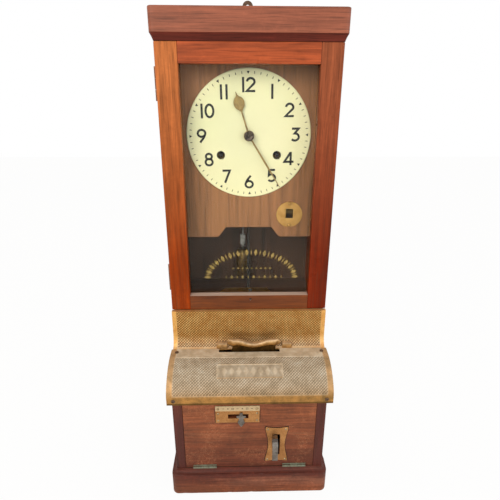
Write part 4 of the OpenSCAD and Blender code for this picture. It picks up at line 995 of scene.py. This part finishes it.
class RECORDER_OT_covers(bpy.types.Operator):
    """Presses the two brass covers and their diamond pattern"""
    bl_idname = "recorder.covers"
    bl_label = "Brass covers"

    def execute(self, context):
        s = context.scene.recorder_covers
        turn = np.radians(np.linspace(0, 90, 60))
        lumps = np.random.default_rng(3).uniform(-1, 1, (60, 2))

        def wavy(x, down, half):
            """Slow dents in old sheet: a sum of wide bell curves."""
            wide, tall, half_girth = 9 * MM, 7 * MM, 70 * MM
            total = 0.0
            for k, (a, b) in enumerate(lumps):
                far = ((x - a * half) / wide) ** 2
                lower = ((down - (b + 1) * half_girth) / tall) ** 2
                total = total + (0.09 if k % 2 else 0.05) * MM * np.exp(-far - lower)
            return total

        def upper(column, row, x, down):
            """Diamonds between a plain head, foot and side rims."""
            head, foot, inside = 9 * MM, 97 * MM, CASE_HALF - 9 * MM
            far = np.abs(x)
            plain = (far > inside) | (down < head) | (down > foot)
            deep, rise = diamonds(column, row, plain, s.depth)
            side = np.maximum(np.clip((far - inside) / (2 * MM), 0, 1), down < head + 0.5 * MM)
            return deep + wavy(x, down, CASE_HALF), {"Wear": rise, "Rim": side}

        top = high("upper_cover", Z) + 0.9 * MM
        cove = [(-1.5 * MM, top), (8 * MM, top)] + [
            ((24 - 16 * math.cos(a)) * MM, LEDGE_Z + 26 * MM * (1 - math.sin(a))) for a in turn]
        points, faces, wear = pressed_sheet(cove, CASE_HALF, s.diamond, upper)
        built("upper_brass_cover", [(points, faces)], "Patterned brass", "case",
              ["upper_cover"], smooth=50, wear=wear)

        half = high("apron_cover", X)
        drop = 54 * MM
        curve = [(24.1 * MM, LEDGE_Z), (50 * MM, LEDGE_Z)] + [
            ((50 + 72 * math.sin(a) ** 1.15) * MM,
             LEDGE_Z - drop + drop * max(0.0, math.cos(a)) ** 1.15)
            for a in turn[1:]] + [(122 * MM, APRON_Z)]

        def apron(column, row, x, down):
            """Diamonds round a framed panel of lozenges, under a raised bead."""
            far, down_mm, inner_edge = np.abs(x), down / MM, half - s.side_rim

            def within(reach, head, foot):
                """Whether a point lies in a box: nearer the middle than its
                reach, and between its head and foot in millimetres."""
                return (far < reach) & (down_mm > head) & (down_mm < foot)

            box, inside = within(70.5 * MM, 51, 82), within(68.4 * MM, 52.4, 80.6)
            pitch, row_mm, tall_mm, bead_mm, foot_mm = 15.2 * MM, 66.5, 11, 29.5, 117
            beat = np.abs((x / pitch) % 1 - 0.5) * 2
            lozenge = np.clip(1.2 - 1.3 * beat - np.abs(down_mm - row_mm) / tall_mm, 0, 0.5)
            plain = (far > inner_edge) | (down_mm < bead_mm + 0.5) | (down_mm > foot_mm) | box
            deep, rise = diamonds(column, row, plain, s.depth)
            bead = (box & ~inside) | within(inner_edge, bead_mm, bead_mm + 2.2)
            proud = 0.6 * MM
            deep = np.where(bead, -proud, np.where(
                inside, s.depth * 0.9 * (1 - 2.4 * lozenge), deep))
            rise = np.where(bead, 1.0, np.where(inside, 0.34 + 0.26 * lozenge, rise))
            # Darker past 134 mm down, on the bottom edge: painted shade with grime under the edge.
            rise = np.where(down_mm > 134, 0.15, rise)
            rim = np.maximum(np.clip((far - inner_edge) / (2 * MM), 0, 1),
                             np.clip((down_mm - foot_mm) / 3, 0, 1))
            return deep + wavy(x, down, half), {"Wear": rise, "Rim": rim}

        cut = round(12.9 * MM / (s.diamond / 4))
        points, faces, wear = pressed_sheet(curve, half, s.diamond, apron, (67.5 * MM, cut))
        line, normal, _ = even_line(curve, 3 * MM)
        normal = -normal if normal[0, 1] < 0 else normal
        sides = []
        for side in (-1, 1):
            a, b = sorted((side * (CASE_HALF + 0.05 * MM), side * half))
            near, far = line - normal * (SHEET + 0.05 * MM), line - normal * 12 * MM
            sides.append(tube([[[x, DOOR_Y - p[0], p[1]]
                                for x, p in ((a, n), (b, n), (b, f), (a, f))]
                               for n, f in zip(near, far)]))
        bare = np.ones(sum(len(p) for p, _ in sides))
        wear = {key: np.append(v, bare) for key, v in wear.items()}
        built("brass_apron", [(points, faces), *sides], "Dusty brass", "case",
              ["apron_cover"], smooth=50, wear=wear)
        dress(("Oiled hanger iron", 0.2, "cover_screws"))
        return {"FINISHED"}


def eased(at, knots, values):
    """Values between knots, each step following half a cosine."""
    knots, values = np.asarray(knots, float), np.asarray(values, float)
    k = np.clip(np.searchsorted(knots, at, side="right") - 1, 0, len(knots) - 2)
    share = np.clip((at - knots[k]) / (knots[k + 1] - knots[k]), 0, 1)
    return values[k] + (values[k + 1] - values[k]) * (1 - np.cos(np.pi * share)) / 2


class RECORDER_OT_mouth(bpy.types.Operator):
    """Casts the wavy lip over the card mouth and the two blocks beside it"""
    bl_idname = "recorder.mouth"
    bl_label = "Mouth lip"

    def execute(self, context):
        # Lip in millimetres: from the middle to the end, its centre's height,
        # half its thickness, its front and its depth.
        middle, reach = 10 * MM, 58.0
        side = np.linspace(-reach, reach, 81)
        far = np.abs(side)
        centre = eased(far, [0, 38, 52, reach], [366.8, 374.2, 373.4, 373])
        half = eased(far, [0, 36, 50, reach], [5.8, 7.6, 8.8, 8.2])
        half = half * np.sqrt(np.clip(1 - np.clip((far - 51) / (reach - 50.8), 0, 1) ** 2, 0, 1))
        front = eased(far, [0, 44, reach], [35.5, 35.5, 30])
        depth = eased(far, [0, 44, reach], [14, 14, 4]) * np.clip(half / 4, 0.1, 1)
        # Each ring is a rounded band: a superellipse whose top leans back into
        # the dish, upright at the front and thinner at the back.
        across, over = bulged(np.radians(np.linspace(0, 360, 28, endpoint=False)), 0.7, 0.8)
        out = front[:, None] - depth[:, None] * (1 - across) / 2
        thin = 0.35 + 0.65 * ((1 + across) / 2) ** 0.8
        rise = centre[:, None] + half[:, None] * (over * thin + 0.55 * (1 - thin))
        rings = np.stack([np.broadcast_to(side[:, None] * MM + middle, out.shape),
                          DOOR_Y - out * MM, rise * MM], -1)
        built("mouth_casting", [tube(rings)], "Rubbed brass", "receiver",
              ["mouth_lip"], smooth=50)
        # The wall under the lip is dark brass: painted shade under the lip.
        half_wall, wall_top = 48 * MM, 366 * MM
        wall = plank((middle - half_wall, low("mouth_lip", Y), low("mouth_lip", Z)),
                     (middle + half_wall, high("mouth_lip", Y), wall_top))
        built("mouth_wall", [wall], "Grimed brass", "receiver")
        # A block's profile of (distance out, height), and how it grows about a
        # point at the foot over the shares of its width.
        profile = np.array([(13, 354.3), (24, 354.3), (24, 362), (23.2, 364.6), (21, 366),
                            (13, 366)]) * MM
        about = np.array([18, 354.3]) * MM
        shares = ((-0.5, 0.82), (-0.46, 0.95), (-0.38, 1), (0.38, 1), (0.46, 0.95), (0.5, 0.82))
        blocks = [tube([[[x + wide * a, DOOR_Y - q[0], q[1]]
                         for q in (profile - about) * g + about] for a, g in shares])
                  for x, wide in ((-60.5 * MM, 24 * MM), (84.5 * MM, 21 * MM))]
        built("mouth_blocks", blocks, "Rubbed brass", "case", smooth=35)
        return {"FINISHED"}


class RECORDER_OT_gilding(bpy.types.Operator):
    """Lays a plain gilt border of lozenges and dots behind the pane"""
    bl_idname = "recorder.gilding"
    bl_label = "Gilding"

    def execute(self, context):
        back = high("door_glass", Y)
        leaves = []

        def leaf(x, z, tall, wide, lean=0.0):
            """A lozenge with hollowed sides, as a flat closed solid. Sizes and
            places are in millimetres."""
            shape = bulged(np.radians(np.arange(0, 360, 15)), 1.7, 1.7).T * [wide / 2, tall / 2]
            shape = (shape @ turned(lean) + [x, z]) * MM
            leaves.append(slab(shape, (back + 0.02 * MM, back + 0.2 * MM)))

        # An arch of leaves over two rows, in millimetres.
        centre, foot, half_wide, rise = 5, 506, 96, 62
        for k, a in enumerate(np.radians(np.linspace(4, 176, 31))):
            lean = math.atan2(math.cos(a) / half_wide, math.sin(a) / rise)
            leaf(centre - half_wide * math.cos(a), foot + rise * math.sin(a), 15,
                 2.4 if k % 2 else 7.5, lean)
        for k in range(11):
            leaf(-50 + 12.1 * k, 510, 8.5, 6 if k % 2 else 2.2)
        for k in range(9):
            leaf(-34 + 10 * k, 531, 3.5, 6)
        built("pane_gilding", leaves, "Old gilding", "door", smooth=0)
        return {"FINISHED"}


def setting(name, description, value, least, most, **kind):
    """Another number that a user may change."""
    return bpy.props.FloatProperty(name=name, description=description, default=value, min=least,
                                   max=most, **kind)


class RecorderStage(bpy.types.PropertyGroup):
    """Floor, lamps and surroundings"""
    floor: tint("Floor", "Colour of the floor", "#F2F0EC")
    bleach: setting("Floor whiteness", "How near to white the camera sees it", 0.94, 0, 1,
                    subtype="FACTOR")
    key: setting("Key lamp", "Power of the large lamp", 50, 1, 400, unit="POWER")
    fill: setting("Fill lamp", "Power of the lamp on the other side", 17, 1, 400, unit="POWER")
    around: setting("Surroundings", "Strength of the light from all round", 0.8, 0, 1,
                    subtype="FACTOR")


class RECORDER_OT_stage(bpy.types.Operator):
    """Sets the floor, the soft lamps, the pale surroundings and the camera"""
    bl_idname = "recorder.stage"
    bl_label = "Stage"

    def execute(self, context):
        scene = context.scene
        s = scene.recorder_stage
        material, add, place = opened("Pale floor")
        dapple = add("TexNoise", {"Vector": place, "Scale": per(400), "Detail": 3.0})
        shown = add("Mix", {0: dapple, 6: toned(s.floor), 7: toned(s.floor, 0.94)},
                    **COLOURS)
        finished(material, shown, 0.7, dapple, 0.1)
        white = add("Emission", {"Color": toned("#FFFFFF"), "Strength": 1.0})
        seen = add("LightPath", out="Is Camera Ray")
        seen = add("Math", {0: seen, 1: s.bleach}, operation="MULTIPLY")
        swapped(material, seen, white)
        points, faces = tube([[[x, y, z] for x, y in ((-6, -6), (6, -6), (6, 6), (-6, 6))]
                              for z in (-20 * MM, -0.5 * MM)])
        mesh = bpy.data.meshes.new("floor")
        mesh.from_pydata(points.tolist(), [], faces)
        mesh.materials.append(material)
        placed("floor", mesh)

        scene.world = bpy.data.worlds.new("Pale surroundings")
        scene.world.use_nodes = True
        tree = scene.world.node_tree
        tree.nodes.clear()
        add = partial(add_node, tree)
        seen = add("LightPath", out="Is Camera Ray")
        for ray in ("Is Glossy Ray", "Is Transmission Ray"):
            seen = add("Math", {0: seen, 1: add("LightPath", out=ray)}, operation="MAXIMUM")
        lit = add("Background", {"Color": toned("#FFFDF8"), "Strength": s.around})
        white = add("Background", {"Color": toned("#FFFFFF"), "Strength": 1.0})
        add("OutputWorld", {0: add("MixShader", {0: seen, 1: lit, 2: white})})

        for name, place, power, colour in (("Key lamp", (-1.6, -2.6, 2.3), s.key, "#FFF6EA"),
                                           ("Fill lamp", (2.2, -1.9, 1.2), s.fill, "#F4F7FF")):
            lamp = bpy.data.lights.new(name, "AREA")
            lamp.size = 1.8
            lamp.energy = power
            lamp.color = linear(colour)
            holder = placed(name, lamp)
            holder.location = place
            aim = Vector((0, 0, 0.55)) - holder.location
            holder.rotation_euler = aim.to_track_quat("-Z", "Y").to_euler()

        # The camera's lens, tilt and place were fitted to the outline and the
        # straight edges of the case in the photo.
        camera = bpy.data.cameras.new("Camera")
        camera.sensor_width = 36.0
        camera.lens = 404 / 500 * camera.sensor_width
        camera.clip_start = 0.01
        down, yaw, roll = np.radians([20.309, 1.537, 0.178])
        scene.camera = placed("Camera", camera)
        scene.camera.matrix_world = (
            Matrix.Translation(Vector((-19.7, -839.2, 875.1)) * MM)
            @ Matrix.Rotation(-yaw, 4, "Z") @ Matrix.Rotation(math.pi / 2 - down, 4, "X")
            @ Matrix.Rotation(roll, 4, "Z"))
        scene.view_settings.view_transform = "Standard"
        return {"FINISHED"}


class RECORDER_PT_panel(bpy.types.Panel):
    """Lists the steps and the sizes and colours that may be changed"""
    bl_idname = "RECORDER_PT_panel"
    bl_label = "Card time recorder"
    bl_space_type = "VIEW_3D"
    bl_region_type = "UI"
    bl_category = "Recorder"

    def draw(self, context):
        for step in STEPS:
            self.layout.operator(step.bl_idname)
        for name in GROUPS:
            group = getattr(context.scene, name)
            for key in group.bl_rna.properties.keys():
                if key not in ("rna_type", "name"):
                    self.layout.prop(group, key)


GROUPS = {"recorder_colours": RecorderColours, "recorder_dial": RecorderDial,
          "recorder_covers": RecorderCovers, "recorder_stage": RecorderStage}
STEPS = (RECORDER_OT_case, RECORDER_OT_hood, RECORDER_OT_plinth, RECORDER_OT_door,
         RECORDER_OT_gilding, RECORDER_OT_dial, RECORDER_OT_hands, RECORDER_OT_date,
         RECORDER_OT_movement, RECORDER_OT_covers, RECORDER_OT_mouth, RECORDER_OT_lower_box,
         RECORDER_OT_printing, RECORDER_OT_stage)


def register():
    """Registers the classes and hangs each group of settings on the scene."""
    for kind in (*GROUPS.values(), *STEPS, RECORDER_PT_panel):
        bpy.utils.register_class(kind)
    for name, kind in GROUPS.items():
        setattr(bpy.types.Scene, name, bpy.props.PointerProperty(type=kind))


def unregister():
    """Takes back what register did."""
    for name in GROUPS:
        delattr(bpy.types.Scene, name)
    for kind in (RECORDER_PT_panel, *reversed(STEPS), *GROUPS.values()):
        bpy.utils.unregister_class(kind)


def main():
    """Registers the add-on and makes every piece."""
    register()
    for step in STEPS:
        getattr(bpy.ops.recorder, step.bl_idname.split(".")[1])()


if __name__ == "__main__":
    main()
